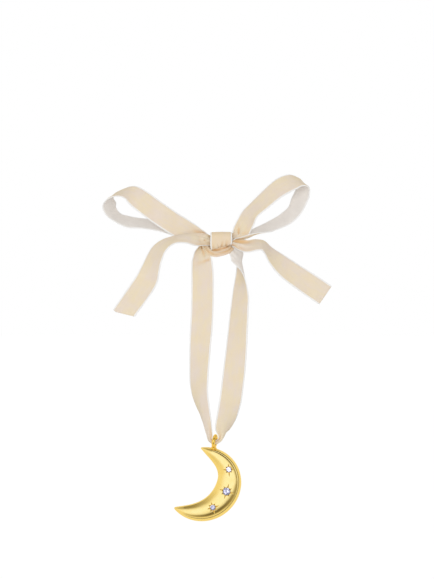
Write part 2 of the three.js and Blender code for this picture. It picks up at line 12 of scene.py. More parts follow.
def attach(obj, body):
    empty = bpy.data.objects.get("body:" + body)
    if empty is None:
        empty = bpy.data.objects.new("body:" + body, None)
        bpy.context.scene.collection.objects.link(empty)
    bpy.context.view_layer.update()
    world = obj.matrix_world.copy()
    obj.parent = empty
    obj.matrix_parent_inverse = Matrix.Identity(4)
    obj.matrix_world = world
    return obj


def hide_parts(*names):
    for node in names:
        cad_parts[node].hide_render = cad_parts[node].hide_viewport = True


bl_info = {
    "name": "Moon Ornament",
    "version": (1, 0, 0),
    "blender": (4, 5, 0),
    "location": "View3D > Sidebar > Ornament",
    "description": "Builds a crescent moon ornament with set stones on a velvet ribbon bow",
    "category": "Add Mesh",
}

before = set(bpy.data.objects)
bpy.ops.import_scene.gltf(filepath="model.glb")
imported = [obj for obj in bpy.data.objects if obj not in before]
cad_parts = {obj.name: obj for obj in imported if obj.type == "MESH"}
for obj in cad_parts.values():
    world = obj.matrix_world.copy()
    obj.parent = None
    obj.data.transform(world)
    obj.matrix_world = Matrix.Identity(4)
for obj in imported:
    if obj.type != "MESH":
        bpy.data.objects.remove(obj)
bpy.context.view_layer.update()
MM = 0.001


def srgb(red, green, blue):
    """A colour given as on a screen, 0 to 255, as linear numbers."""
    return tuple(((c / 255 + 0.055) / 1.055) ** 2.4 for c in (red, green, blue))


# Settings


class RibbonSettings(bpy.types.PropertyGroup):
    width: FloatProperty(
        name="Width", description="Width of the ribbon, edge to edge",
        default=0.010, unit="LENGTH")
    pile: FloatProperty(
        name="Pile", description="Thickness of the ribbon where it has its pile",
        default=0.0008, unit="LENGTH")
    selvedge: FloatProperty(
        name="Selvedge", description="Width of the woven edge that has no pile",
        default=0.0006, unit="LENGTH")
    selvedge_thickness: FloatProperty(
        name="Selvedge thickness", description="Thickness of the woven edge",
        default=0.00045, unit="LENGTH")
    cream: FloatVectorProperty(
        name="Cream", description="Colour of the brushed pile",
        default=srgb(237, 223, 195), subtype="COLOR")
    blush: FloatVectorProperty(
        name="Blush", description="Colour of the pile where it lies the other way",
        default=srgb(234, 221, 208), subtype="COLOR")
    # Painted shade: the warm, darker colour the pile is given where shade lies, deep in creases, in
    # hollows and by the knot
    fold_shade: FloatVectorProperty(
        name="Fold", description="Colour of the pile deep in a fold",
        default=srgb(229, 186, 130), subtype="COLOR")
    reverse: FloatVectorProperty(
        name="Reverse", description="Colour of the woven reverse",
        default=srgb(244, 238, 232), subtype="COLOR")
    edge: FloatVectorProperty(
        name="Edge", description="Colour of the woven edges",
        default=srgb(243, 241, 238), subtype="COLOR")


class MoonSettings(bpy.types.PropertyGroup):
    dome: FloatProperty(
        name="Dome", description="Rise of the dome above the edge, at its widest",
        default=0.0028, unit="LENGTH")
    rim: FloatProperty(
        name="Rim", description="Width of the rolled rim round the outer edge",
        default=0.0017, unit="LENGTH")
    groove: FloatProperty(
        name="Groove", description="Depth of the rays cut round each stone",
        default=0.0005, unit="LENGTH")
    grain: FloatProperty(
        name="Grain", description="Diameter of the grains that grip the stones",
        default=0.00042, unit="LENGTH")
    wire: FloatProperty(
        name="Wire", description="Thickness of the ring's wire",
        default=0.00145, unit="LENGTH")
    ring: FloatProperty(
        name="Ring", description="Outside diameter of the ring",
        default=0.0066, unit="LENGTH")
    gold: FloatVectorProperty(
        name="Gold", description="Colour of the polished gold plate",
        default=srgb(248, 220, 141), subtype="COLOR")


class StoneSettings(bpy.types.PropertyGroup):
    centre: FloatProperty(
        name="Centre stone", description="Diameter of the middle stone",
        default=0.0035, unit="LENGTH")
    side: FloatProperty(
        name="Side stones", description="Diameter of the upper and lower stones",
        default=0.0025, unit="LENGTH")
    clear: FloatVectorProperty(
        name="Crystal", description="Colour of the clear crown",
        default=srgb(250, 249, 255), subtype="COLOR")
    foil: FloatVectorProperty(
        name="Foil", description="Colour of the silvered facets under the crown",
        default=srgb(226, 226, 232), subtype="COLOR")


class StageSettings(bpy.types.PropertyGroup):
    lens: FloatProperty(
        name="Lens", description="Focal length of the camera", default=135.0)
    view_height: FloatProperty(
        name="View height", description="Height that the picture takes in at the ornament",
        default=0.2573, unit="LENGTH")
    sky: FloatProperty(
        name="Sky", description="Strength of the even light from all round", default=0.72)
    softbox: FloatProperty(
        name="Softbox", description="Power of the broad lamp behind the camera",
        default=2.9, unit="POWER")


# Nodes


class Value:
    """A socket that takes part in sums, each of which adds a Math node."""

    def __init__(self, nodes, socket):
        self.nodes = nodes
        self.socket = socket

    def maths(self, operation, *numbers):
        return self.nodes.node("ShaderNodeMath", {"operation": operation}, dict(enumerate(numbers)))

    def __add__(self, other):
        return self.maths("ADD", self, other)

    def __radd__(self, other):
        return self.maths("ADD", other, self)

    def __sub__(self, other):
        return self.maths("SUBTRACT", self, other)

    def __rsub__(self, other):
        return self.maths("SUBTRACT", other, self)

    def __mul__(self, other):
        return self.maths("MULTIPLY", self, other)

    def __rmul__(self, other):
        return self.maths("MULTIPLY", other, self)

    def __truediv__(self, other):
        return self.maths("DIVIDE", self, other)

    def __pow__(self, other):
        return self.maths("POWER", self, other)

    def sine(self):
        return self.maths("SINE", self)

    def clamped(self):
        return self.maths("MINIMUM", self.maths("MAXIMUM", self, 0.0), 1.0)

    def ramp(self, low, high):
        """0 below low and 1 above high, with a smooth step between them."""
        share = ((self - low) * (1 / (high - low))).clamped()
        return share * share * (3 - 2 * share)


class Nodes:
    """The nodes of one material or world."""

    def __init__(self, owner):
        owner.use_nodes = True
        self.tree = owner.node_tree
        self.tree.nodes.clear()

    def node(self, kind, settings=None, inputs=None, output=0):
        """Adds a node, sets it and its sockets, and gives back one of its outputs."""
        made = self.tree.nodes.new(kind)
        for name, setting in (settings or {}).items():
            setattr(made, name, setting)
        for name, value in (inputs or {}).items():
            if isinstance(value, Value):
                self.tree.links.new(value.socket, made.inputs[name])
            else:
                made.inputs[name].default_value = value
        return Value(self, made.outputs[output]) if made.outputs else made

    def mix(self, share, first, second):
        colours = {0: share}
        for place, colour in ((6, first), (7, second)):
            colours[place] = colour if isinstance(colour, Value) else (*colour, 1)
        return self.node("ShaderNodeMix", {"data_type": "RGBA"}, colours, output=2)

    def place(self):
        return self.node("ShaderNodeTexCoord", output="Object")

    def ribbon_place(self):
        """Millimetres across and along the ribbon, from its own UV map."""
        return self.node("ShaderNodeUVMap", {"uv_map": "ribbon"})

    def split(self, vector):
        axes = self.node("ShaderNodeSeparateXYZ", inputs={0: vector}).socket.node.outputs
        return [Value(self, axis) for axis in axes]

    def noise(self, vector, scale, detail=2.0, roughness=0.5):
        return self.node("ShaderNodeTexNoise", inputs={
            "Vector": vector, "Scale": scale, "Detail": detail, "Roughness": roughness})

    def stretched(self, vector, scale):
        return self.node("ShaderNodeMapping", inputs={"Vector": vector, "Scale": scale})

    def bump(self, height, distance, strength=1.0):
        return self.node("ShaderNodeBump", inputs={
            "Height": height, "Distance": distance, "Strength": strength})

    def shader(self, **sockets):
        """The main shader, with each socket's name written with underscores."""
        named = {}
        for name, value in sockets.items():
            colour = hasattr(value, "__len__") and len(value) == 3
            named[name.replace("_", " ")] = (*value, 1) if colour else value
        return self.node("ShaderNodeBsdfPrincipled", inputs=named)

    def background(self, colour, strength=1.0):
        return self.node("ShaderNodeBackground", inputs={"Color": colour, "Strength": strength})

    def mix_shader(self, share, first, second):
        return self.node("ShaderNodeMixShader", inputs={0: share, 1: first, 2: second})

    def ray(self, kind):
        return self.node("ShaderNodeLightPath", output="Is %s Ray" % kind)

    def finish(self, shader, kind="ShaderNodeOutputMaterial"):
        self.node(kind, inputs={"Surface": shader})


# Finishes

# Pitches of the reverse's ribs and threads and of the edge's loops, in millimetres
RIB_PITCH = 0.26
THREAD_PITCH = 0.2
LOOP_PITCH = 0.34


def new_finish(name):
    material = bpy.data.materials.new(name)
    return material, Nodes(material)


def shaded(colour, *shares):
    """A colour times one share, or times a share for each of its three parts."""
    return tuple(c * s for c, s in zip(colour, shares * 3 if len(shares) == 1 else shares))


def velvet_pile():
    """Cut pile, brushed in soft patches, with painted shade that turns it warmer and darker deep in
    the folds and by the knot.
    """
    look = bpy.context.scene.ornament_ribbon
    material, nodes = new_finish("velvet_pile")
    place = nodes.place()
    run = nodes.ribbon_place()
    patches = nodes.noise(place, 130, detail=2)
    streaks = nodes.noise(nodes.stretched(run, (0.9, 0.16, 1)), 1.0, detail=3, roughness=0.6)
    tufts = nodes.noise(place, 5200, detail=2, roughness=0.7)
    nap = nodes.noise(nodes.stretched(run, (5.0, 1.3, 1)), 1.0, detail=3, roughness=0.65)
    lie = (patches * 0.65 + streaks * 0.35).ramp(0.36, 0.66)
    pile = nodes.mix(lie, look.cream, look.blush)
    # Painted shade: the pile's colour is drawn towards the warm shade colour by the amount of shade
    # each point of the mesh carries
    depth = nodes.node("ShaderNodeAttribute", {"attribute_name": "fold_shade"}, output="Fac")
    deep = nodes.mix(depth.ramp(-0.15, 1.15) * 0.9, pile, look.fold_shade)
    speck = nodes.mix(tufts.ramp(0.25, 0.75) * 0.13, deep, (0.66, 0.50, 0.33))
    height = tufts * 0.7 + nap * 0.6
    nodes.finish(nodes.shader(
        Base_Color=speck, Roughness=0.93, Specular_IOR_Level=0.15,
        Sheen_Weight=0.10, Sheen_Roughness=0.45, Sheen_Tint=look.cream,
        Normal=nodes.bump(height, 0.00012, 0.7)))
    return material


def woven_reverse():
    """The smooth woven back: fine cross ribs with a faint lengthwise thread."""
    look = bpy.context.scene.ornament_ribbon
    material, nodes = new_finish("woven_reverse")
    across, along, _ = nodes.split(nodes.ribbon_place())
    ribs = (along * (2 * math.pi / RIB_PITCH)).sine()
    threads = (across * (2 * math.pi / THREAD_PITCH)).sine()
    cloud = nodes.noise(nodes.place(), 160, detail=3)
    weave = ribs * 0.6 + threads * 0.4
    tint = nodes.mix(cloud.ramp(0.3, 0.7), look.reverse, shaded(look.reverse, 0.95))
    colour = nodes.mix((weave * 0.5 + 0.5) * 0.22, tint, shaded(look.reverse, 0.86))
    nodes.finish(nodes.shader(
        Base_Color=colour, Roughness=0.62, Specular_IOR_Level=0.3, Sheen_Weight=0.05,
        Normal=nodes.bump(weave, 0.00003, 0.6)))
    return material


def woven_edge():
    """The bare selvedge: tight loops of weft in a row along the edge."""
    look = bpy.context.scene.ornament_ribbon
    material, nodes = new_finish("woven_edge")
    across, along, _ = nodes.split(nodes.ribbon_place())
    loops = (along * (2 * math.pi / LOOP_PITCH) + across * 2.0).sine()
    uneven = nodes.noise(nodes.place(), 900, detail=2)
    tint = (loops * 0.5 + 0.5) * 0.06 + uneven * 0.06
    colour = nodes.mix(tint, look.edge, shaded(look.edge, 0.84))
    nodes.finish(nodes.shader(
        Base_Color=colour, Roughness=0.6, Specular_IOR_Level=0.3,
        Normal=nodes.bump(loops, 0.000014, 0.5)))
    return material


def polished_gold(name, colour):
    """Gold plate with a faint waviness and hair-fine wiping marks."""
    material, nodes = new_finish(name)
    place = nodes.place()
    wave = nodes.noise(place, 260, detail=1)
    wiping = nodes.noise(nodes.stretched(place, (2600, 9000, 700)), 1.0, detail=2)
    cloud = nodes.noise(place, 420, detail=3)
    tint = nodes.mix(cloud.ramp(0.35, 0.7), colour, shaded(colour, 0.985, 0.955, 0.86))
    marks = wiping.ramp(0.5, 0.8)
    nodes.finish(nodes.shader(
        Base_Color=tint, Metallic=1.0, Roughness=0.10 + marks * 0.06 + cloud * 0.04,
        Normal=nodes.bump(wave + wiping * 0.03, 0.00012, 0.30)))
    return material


def cut_crystal():
    """The clear crown of a stone."""
    look = bpy.context.scene.ornament_stones
    material, nodes = new_finish("cut_crystal")
    haze = nodes.noise(nodes.place(), 1500, detail=2)
    nodes.finish(nodes.shader(
        Base_Color=look.clear, Roughness=haze * 0.03, IOR=1.75, Transmission_Weight=1.0))
    return material


def silvered_facets():
    """The mirrored facets under the crown, darker in soft patches."""
    look = bpy.context.scene.ornament_stones
    material, nodes = new_finish("silvered_facets")
    # Darker in soft patches over the foil
    dark_patches = nodes.noise(nodes.place(), 700, detail=1)
    colour = nodes.mix(dark_patches.ramp(0.42, 0.6), look.foil, shaded(look.foil, 0.50, 0.50, 0.56))
    nodes.finish(nodes.shader(Base_Color=colour, Metallic=1.0, Roughness=0.06))
    return material


def finish_named(name, make, *values):
    """A material by name, made the first time that it is asked for."""
    return bpy.data.materials.get(name) or make(*values)


def plate(piece, name, colour):
    """Gives a metal piece its gold and lets it swing with the pendant."""
    piece.data.materials.clear()
    piece.data.materials.append(finish_named(name, polished_gold, name, colour))
    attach(piece, "pendant")


# Ribbon


def curve_through(rows, shares, closed=False):
    """Points on a centripetal curve through the rows, at shares of the way along it."""
    rows = np.asarray(rows, float)
    spans = len(rows) if closed else len(rows) - 1
    place = np.asarray(shares) * spans
    at = np.minimum(place.astype(int), spans - 1)
    w = (place - at)[:, None]
    if closed:
        a, b, c, d = (rows[(at + k) % len(rows)] for k in (-1, 0, 1, 2))
    else:
        ends = np.vstack([2 * rows[0] - rows[1], rows, 2 * rows[-1] - rows[-2]])
        a, b, c, d = (ends[at + k] for k in range(4))
    before, here, after = (
        np.maximum(np.linalg.norm(q - p, axis=1, keepdims=True) ** 0.5, 1e-4)
        for p, q in ((a, b), (b, c), (c, d)))
    leave = ((b - a) / before - (c - a) / (before + here) + (c - b) / here) * here
    arrive = ((c - b) / here - (d - b) / (here + after) + (d - c) / after) * here
    return (b + leave * w + (3 * (c - b) - 2 * leave - arrive) * w**2
            + (2 * (b - c) + leave + arrive) * w**3)


def even_shares(rows, step, closed):
    """Shares along the curve that lie a step apart, and how far along it each lies."""
    fine = np.linspace(0, 1, 4000)
    points = curve_through([r[:3] for r in rows], fine, closed)
    run = np.concatenate([[0], np.cumsum(np.linalg.norm(np.diff(points, axis=0), axis=1))])
    count = max(8, round(run[-1] / step))
    marks = np.linspace(0, run[-1], count + 1)
    return np.interp(marks, run, fine), marks


def normalised(vectors):
    return vectors / np.linalg.norm(vectors, axis=-1, keepdims=True)


# How the points lie across a ribbon: how many, and in shares of its width
PILE_COLUMNS = 30
SHOULDER_COLUMNS = 4
SHOULDER = 0.035
PILE_INSET = 0.06

# Below this curl, in radians, a ribbon lies flat across
LEAST_CURL = 0.02

# Depths of the gathers; how deep a crease sinks before the pile's painted shade in it is full, and
# how far from the knot the pile's painted shade reaches, in mm
WAVE_DEPTHS = (0.75, 0.28)
FOLD_SHADE_DEPTH = 0.85
KNOT_SHADE_REACH = 2.5

PILE, REVERSE, SELVEDGE = 0, 1, 2


def ribbon_section(look):
    """Across the ribbon: the columns, where the pile ends, and both sides' heights."""
    bare = look.selvedge / look.width
    edge = 0.5 - bare
    across = np.concatenate([
        [-0.5, -0.5 + bare * 0.35, -edge - bare * 0.05],
        np.linspace(-edge, -edge + SHOULDER, SHOULDER_COLUMNS),
        np.linspace(-edge + PILE_INSET, edge - PILE_INSET, PILE_COLUMNS),
        np.linspace(edge - SHOULDER, edge, SHOULDER_COLUMNS),
        [edge + bare * 0.05, 0.5 - bare * 0.35, 0.5]])
    inside = np.clip((edge - np.abs(across)) / SHOULDER, 0, 1)
    round_edge = np.sqrt(1 - (1 - inside) ** 2)
    selvedge = look.selvedge_thickness / MM / 2
    tip = np.where(np.abs(across) == 0.5, 0.35, 1.0)
    front = selvedge * tip + (look.pile / MM / 2 - selvedge) * round_edge
    back = selvedge * tip + (look.pile / MM * 0.4 - selvedge) * round_edge * 0.6
    return across, edge, front, back


def ribbon_path(rows, closed, step):
    """Along the ribbon: its middle, side, face, open share, curl and run."""
    full = [list(r) + [0] * (8 - len(r)) for r in rows]
    places = [r[:3] for r in full]
    shares, run = even_shares(full, step, closed)
    nudge = 1e-4
    middle = curve_through(places, shares, closed)
    ahead = curve_through(places, np.clip(shares + nudge, 0, 1), closed)
    behind = curve_through(places, np.clip(shares - nudge, 0, 1), closed)
    tangent = normalised(ahead - behind)
    side = curve_through([r[3:6] for r in full], shares, closed)
    side = normalised(side - (side * tangent).sum(1, keepdims=True) * tangent)
    shape = curve_through([[r[6], r[7] / 100, i * 1e-3] for i, r in enumerate(full)],
                          shares, closed)
    curl = np.radians(shape[:, 1:2] * 100)
    return middle, side, np.cross(tangent, side), shape[:, :1], curl, run


def creased(relief, base, run, creases):
    """The relief with its creases sunk and its swellings raised."""
    for start, end, reach, depth, (low, high) in creases:
        start, line = np.array(start, float), np.subtract(end, start)
        off = base[..., [0, 2]] - start
        share = np.clip((off @ line) / max(line @ line, 1e-9), 0, 1)
        away = np.linalg.norm(off - share[..., None] * line, axis=-1)
        here = ((run >= low * run[-1]) & (run <= high * run[-1]))[:, None]
        fade = 1 - share**1.5 * 0.85
        wide = reach * (0.7 + 0.6 * share)
        relief = relief - depth * fade * np.exp(-((away / wide) ** 2)) * here
    return relief


def ribbon_faces(run, share_of, edge, closed, tucked):
    """The ribbon's faces, each with its finish: pile, reverse or selvedge."""
    loop, last = len(share_of), len(run) - 1
    faces, kinds = [], []
    for j in range(loop):
        k = (j + 1) % loop
        bare_here = max(abs(share_of[j]), abs(share_of[k])) > edge + 1e-6
        kind = SELVEDGE if bare_here else (PILE if j < loop // 2 else REVERSE)
        tucked_side = kind == SELVEDGE and tucked is not None and share_of[j] * tucked[0] > 0
        for i in range(last):
            n = 0 if closed and i + 1 == last else i + 1
            faces.append((i * loop + j, i * loop + k, n * loop + k, n * loop + j))
            hidden = tucked_side and run[i] < tucked[1] * run[-1]
            kinds.append(PILE if hidden else kind)
    if not closed:
        for ring, turn in ((0, 1), (last, -1)):
            for j in range(loop // 2 - 1):
                quad = [j, loop - 1 - j, loop - 2 - j, j + 1][::turn]
                faces.append(tuple(ring * loop + q for q in quad))
                kinds.append(PILE)
    return faces, kinds


def velvet_piece(name, points, faces, kinds, folds, places):
    """A ribbon piece from its points, with its finishes, the painted shade at each point and own UV
    map.
    """
    mesh = bpy.data.meshes.new(name)
    mesh.from_pydata((points.reshape(-1, 3) * MM).tolist(), [], faces)
    piece = bpy.data.objects.new(name, mesh)
    bpy.context.scene.collection.objects.link(piece)
    mesh.materials.append(finish_named("velvet_pile", velvet_pile))
    if kinds:
        mesh.materials.append(finish_named("woven_reverse", woven_reverse))
        mesh.materials.append(finish_named("woven_edge", woven_edge))
        mesh.polygons.foreach_set("material_index", kinds)
    # The amount of painted shade at each point, read by the pile's finish
    fold_shade = mesh.attributes.new("fold_shade", "FLOAT", "POINT")
    fold_shade.data.foreach_set("value", folds.ravel().astype(np.float32))
    corners = np.empty(len(mesh.loops), int)
    mesh.loops.foreach_get("vertex_index", corners)
    layer = mesh.uv_layers.new(name="ribbon")
    layer.data.foreach_set("uv", places.reshape(-1, 2)[corners].astype(np.float32).ravel())
    face_outwards(piece)
    bpy.ops.object.shade_smooth()
    return piece


def ribbon_mesh(name, rows, creases=(), closed=False, step=0.4, bend=1.5, cut=None, warmth=0,
                roots=(0.5, 0.5), tucked=None):
    """A velvet ribbon along stations, as one closed sheet with pile, reverse and selvedges.

    A station is x, y, z in millimetres, the direction across, the share of the width that
    lies open and the curl of the edges towards the pile, in degrees. Bend is the number of
    waves across where it is gathered. Painted shade, a warm darkening, is added to the
    pile's colour all along by one share, and by another share at the ribbon's start and
    end, by the knot; the pile also gets painted shade the deeper it sinks in a crease. A
    crease runs from one x, z to another, fading as it goes, with its reach and depth in
    millimetres, less than 0 for a swelling, and the shares of the ribbon's length between
    which it lies. A tucked edge shows no selvedge: its side, -1 or 1, and the share of the
    length up to which it lies so."""
    look = bpy.context.scene.ornament_ribbon
    width = look.width / MM
    across, edge, front, back = ribbon_section(look)
    middle, side, face, spread, curl, run = ribbon_path(rows, closed, step)

    angle = across[None, :] * curl
    small = np.abs(curl) < LEAST_CURL
    safe = np.where(small, 1, curl)
    open_width = width * spread
    along_side = np.where(small, open_width * across, open_width / safe * np.sin(angle))
    rise = np.where(small, 0, open_width / safe * (1 - np.cos(angle)))
    broad, fine = WAVE_DEPTHS
    wave = (1 - spread) * (
        broad * np.cos(2 * math.pi * bend * across)[None, :]
        + fine * np.sin(2 * math.pi * (bend * 2.3) * across + run[:, None] * 0.25))
    relief = wave + 0.05 * np.sin(run[:, None] * 0.55 + across[None, :] * 3)
    outward = (face[:, None, :] * np.cos(angle)[..., None]
               - side[:, None, :] * np.sin(angle)[..., None])
    base = (middle[:, None, :] + side[:, None, :] * along_side[..., None]
            + face[:, None, :] * rise[..., None])
    relief = creased(relief, base, run, creases)
    pile_side = base + outward * (relief + front[None, :])[..., None]
    reverse_side = base + outward * (relief - back[None, :])[..., None]
    points = np.concatenate([pile_side, reverse_side[:, ::-1]], axis=1)
    if cut is not None:
        points = cut_off(points, *cut)

    share_of = np.concatenate([across, across[::-1]])
    faces, kinds = ribbon_faces(run, share_of, edge, closed, tucked)
    kept = len(run) - 1 if closed else len(run)
    # Painted shade on the pile: warmer and darker the deeper a point sinks in a crease, near the
    # knot at the ribbon's ends, and by a share all along
    sunk = -np.concatenate([relief, relief[:, ::-1]], axis=1)[:kept]
    knot_shade = (roots[0] * np.exp(-run / KNOT_SHADE_REACH)
                 + roots[1] * np.exp(-(run[-1] - run) / KNOT_SHADE_REACH))
    folds = np.clip(np.maximum(sunk, 0) / FOLD_SHADE_DEPTH + warmth + knot_shade[:kept, None], 0, 1)
    places = np.empty((kept, len(share_of), 2))
    places[..., 0] = share_of[None, :] * width
    places[..., 1] = run[:kept, None]
    return velvet_piece(name, points[:kept], faces, kinds, folds, places), run[-1] * MM


def add_ribbon(name, stands_for, held, rows, creases, **shaping):
    """Adds one stretch of the ribbon and hides the parts that it stands for; how it is held is not
    used.
    """
    piece, length = ribbon_mesh(name, rows, creases, **shaping)
    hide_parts(*stands_for)
    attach(piece, "ribbon")


def select_none():
    for other in bpy.context.selected_objects:
        other.select_set(False)


def only(piece):
    """Selects one object alone and makes it active."""
    select_none()
    piece.select_set(True)
    bpy.context.view_layer.objects.active = piece


def face_outwards(piece, merge=0):
    """Turns every face outwards, after merging the points closer than merge, if it is given."""
    only(piece)
    bpy.ops.object.mode_set(mode="EDIT")
    bpy.ops.mesh.select_all(action="SELECT")
    if merge:
        bpy.ops.mesh.remove_doubles(threshold=merge)
    bpy.ops.mesh.normals_make_consistent(inside=False)
    bpy.ops.object.mode_set(mode="OBJECT")


# The share of a ribbon's points after which its end is eased back to a cut
EASED_FROM = 0.7


def cut_off(points, at, normal):
    """Ends each lengthwise line of a ribbon at a plane, easing its last part back to it."""
    past = (points - np.array(at)) @ np.array(normal)
    index = np.arange(len(points))
    start = int(len(points) * EASED_FROM)
    ended = points.copy()
    for j in range(points.shape[1]):
        beyond = np.flatnonzero(past[start:, j] > 0)
        if len(beyond) == 0:
            continue
        first = start + beyond[0]
        limit = first - past[first, j] / (past[first, j] - past[first - 1, j])
        eased = start + (index - start) * (limit - start) / (index[-1] - start)
        eased = np.where(index < start, index, eased)
        for k in range(3):
            ended[:, j, k] = np.interp(eased, index, points[:, j, k])
    return ended


LEFT_STRAND = [
    [-5.0, 1.4, 7.4, 0.8, -0.55, -0.1, 0.3],
    [-6, 0.4, 4.6, 0.86, -0.5, -0.1, 0.42],
    [-6.4, 0.1, 2, 0.93, -0.36, 0, 0.75],
    [-6.4, -0.2, -1.8, 0.97, -0.25, 0, 0.95],
    [-6.2, -0.2, -10.2, 1, 0, 0, 1],
    [-6.4, 0, -25.3, 1, 0, 0, 1],
    [-7.3, 0, -40.9, 0.94, -0.35, 0, 1],
    [-7.8, 0, -54.7, 0.83, -0.56, 0, 1],
    [-7.7, 0, -61.3, 0.74, -0.67, 0, 1, -30],
    [-6.7, 0, -67.8, 0.6, -0.8, 0, 0.95, -80],
    [-5.2, 0, -74, 0.45, -0.89, 0, 0.82, -120],
    [-3.6, 0, -79.22, 0.25, -0.97, 0, 0.56, -155],
]

# The turn through the ring, between the lower ends of the strands
BIGHT = [
    [-2.9, 0, -81.3, 0, -1, 0, 0.35, -185],
    [-0.79, 0, -82.55, 0, -1, 0, 0.28, -190],
    [1.5, 0, -81.4, 0, -1, 0, 0.35, -185],
]

RIGHT_STRAND = [
    [2.4, 1.2, 5.2, -0.55, 0, -0.8, 0.3, 0],
    [4.8, 0.6, 4.3, -0.6, -0.1, -0.8, 0.32, 0],
    [7.6, 0.2, 3.0, -0.65, -0.2, -0.73, 0.55, 20],
    [10.0, 0.1, 0.5, -0.7, -0.6, -0.4, 0.85, 95],
    [11.2, 0.2, -2.9, -0.1, -0.98, -0.05, 0.98, 135],
    [11.7, 0.1, -7, 0.27, -0.95, 0, 1, 90],
    [11.1, 0, -12.4, 0.58, -0.81, 0, 1, 25],
    [10.6, 0, -19.1, 0.76, -0.64, 0, 1],
    [9.6, 0, -31.6, 0.86, -0.51, 0, 1],
    [8.6, 0, -44, 0.96, -0.29, 0, 1],
    [7.4, 0, -54.7, 1, 0, 0, 1],
    [6.4, 0, -62.7, 1, 0.1, 0, 1],
    [5.5, 0, -67.5, 0.96, 0.3, 0, 1, -15],
    [4.6, 0, -72, 0.9, 0.45, 0, 1, -45],
    [3.5, 0, -76.4, 0.8, 0.6, 0, 0.92, -90],
    [2.75, 0, -79.6, 0.45, 0.88, 0, 0.62, -150],
]

LEFT_LOOP = [
    [-0.9, 0.6, 6.6, 0, -0.2, -0.98, 0.36],
    [-3.6, 0, 7.3, 0, -0.2, -0.98, 0.46],
    [-6.2, -0.2, 8.7, 0, -0.3, -0.95, 0.58],
    [-10.7, -0.3, 10.8, -0.35, -0.3, -0.87, 0.82],
    [-17.2, -0.8, 13.8, -0.51, -0.25, -0.82, 1],
    [-27.4, -1.8, 20.6, -0.56, -0.19, -0.81, 1],
    [-33.4, -2, 25, -0.57, -0.28, -0.77, 1],
    [-38.4, -1.5, 28.3, -0.52, -0.62, -0.58, 1],
    [-43.3, -0.6, 28.2, -0.32, -0.88, -0.34, 1],
    [-46.9, 0.1, 26.4, -0.26, -0.94, -0.22, 1],
    [-47.7, 0.8, 23.3, -0.56, -0.77, -0.31, 1],
    [-46.8, 1.5, 20.2, -0.38, -0.84, -0.4, 1],
    [-43.6, 2, 17.3, -0.22, -0.89, -0.4, 1],
    [-39.3, 2.5, 15.7, -0.09, -0.85, -0.51, 1],
    [-34, 3.2, 15.1, -0.09, -0.88, -0.47, 1],
    [-26, 4.2, 14, 0, -0.85, -0.5, 0.95],
    [-14.4, 4.2, 11, 0, -0.6, -0.8, 0.7],
    [-7, 3, 8.6, 0, -0.25, -0.97, 0.55],
    [-3.5, 2.5, 7.3, 0, -0.1, -1, 0.44],
    [-0.9, 2.2, 6.9, 0, -0.1, -1, 0.36],
]

RIGHT_LOOP = [
    [5.8, -0.6, 7.5, -0.6, 0.1, 0.5, 0.5],
    [9.6, -0.6, 9.0, -0.95, 0.15, 0.1, 0.68],
    [11.1, 0.2, 11.7, -0.97, 0.2, 0, 0.8],
    [12.9, 0.2, 15.3, -0.84, 0.52, 0.1, 0.88],
    [15.6, -1.2, 19.7, -0.61, 0.74, 0.29, 1],
    [21, -2.1, 24.8, -0.52, 0.68, 0.51, 1],
    [26.8, -2.4, 29.8, -0.46, 0.59, 0.66, 1],
    [30.5, -2, 32.1, -0.38, 0.57, 0.73, 1],
    [33.9, -1.2, 33.3, -0.32, 0.65, 0.69, 1],
    [37.5, -0.3, 33.3, -0.1, 0.93, 0.35, 1],
    [39.4, 0.5, 31.7, -0.34, 0.9, 0.2, 1],
    [38.3, 1.3, 28.4, -0.64, 0.74, 0.18, 1],
    [36.7, 1.8, 24.9, -0.67, 0.72, 0.18, 1],
    [34.6, 2.2, 20.6, -0.56, 0.78, 0.29, 1],
    [30.8, 2.6, 17.1, -0.42, 0.79, 0.44, 1],
    [24.2, 2.7, 13.7, -0.27, 0.86, 0.43, 1],
    [18.2, 1.5, 10.9, -0.2, 0.92, 0.27, 0.92, -45],
    [13.6, 0, 8.9, -0.15, 0.95, 0.18, 0.72, -90],
    [9.6, -0.8, 7.7, -0.1, 0.9, 0.3, 0.5, -130],
    [6.8, -0.9, 7.2, -0.05, 0.7, 0.6, 0.4, -130],
    [4.4, -0.5, 7.1, -0.05, 0.5, 0.8, 0.36, -120],
]

LEFT_TAIL = [
    [-0.8, -0.9, 7.1, 0, -0.15, -0.98, 0.4],
    [-3.3, -2.6, 7.4, 0, -0.15, -0.98, 0.48, -30],
    [-6, -4, 7.9, 0, -0.3, -0.95, 0.62, -50],
    [-9.4, -5.8, 8.3, 0, -0.65, -0.76, 0.8, -55],
    [-13.6, -7.2, 8.8, 0, -0.86, -0.51, 0.9, -50],
    [-18.3, -7.8, 7.9, 0.16, -0.93, -0.34, 1, -20],
    [-22.5, -7.8, 5.7, 0.41, -0.86, -0.3, 1],
    [-25.5, -7.5, 2.8, 0.57, -0.77, -0.29, 1],
    [-27.5, -7, -1, 0.68, -0.67, -0.29, 1],
    [-29, -6.4, -5.3, 0.81, -0.54, -0.22, 1],
    [-30.8, -5.7, -10.1, 0.91, -0.2, -0.37, 1],
    [-34.3, -4.8, -15.5, 0.92, 0, -0.39, 1],
    [-38.3, -4, -21.1, 0.83, -0.2, -0.53, 1],
    [-42, -3.2, -26.3, 0.78, -0.24, -0.57, 1],
]
LEFT_TAIL_CUT = ((-46.3, 0, -24), (-38, 0, -26))

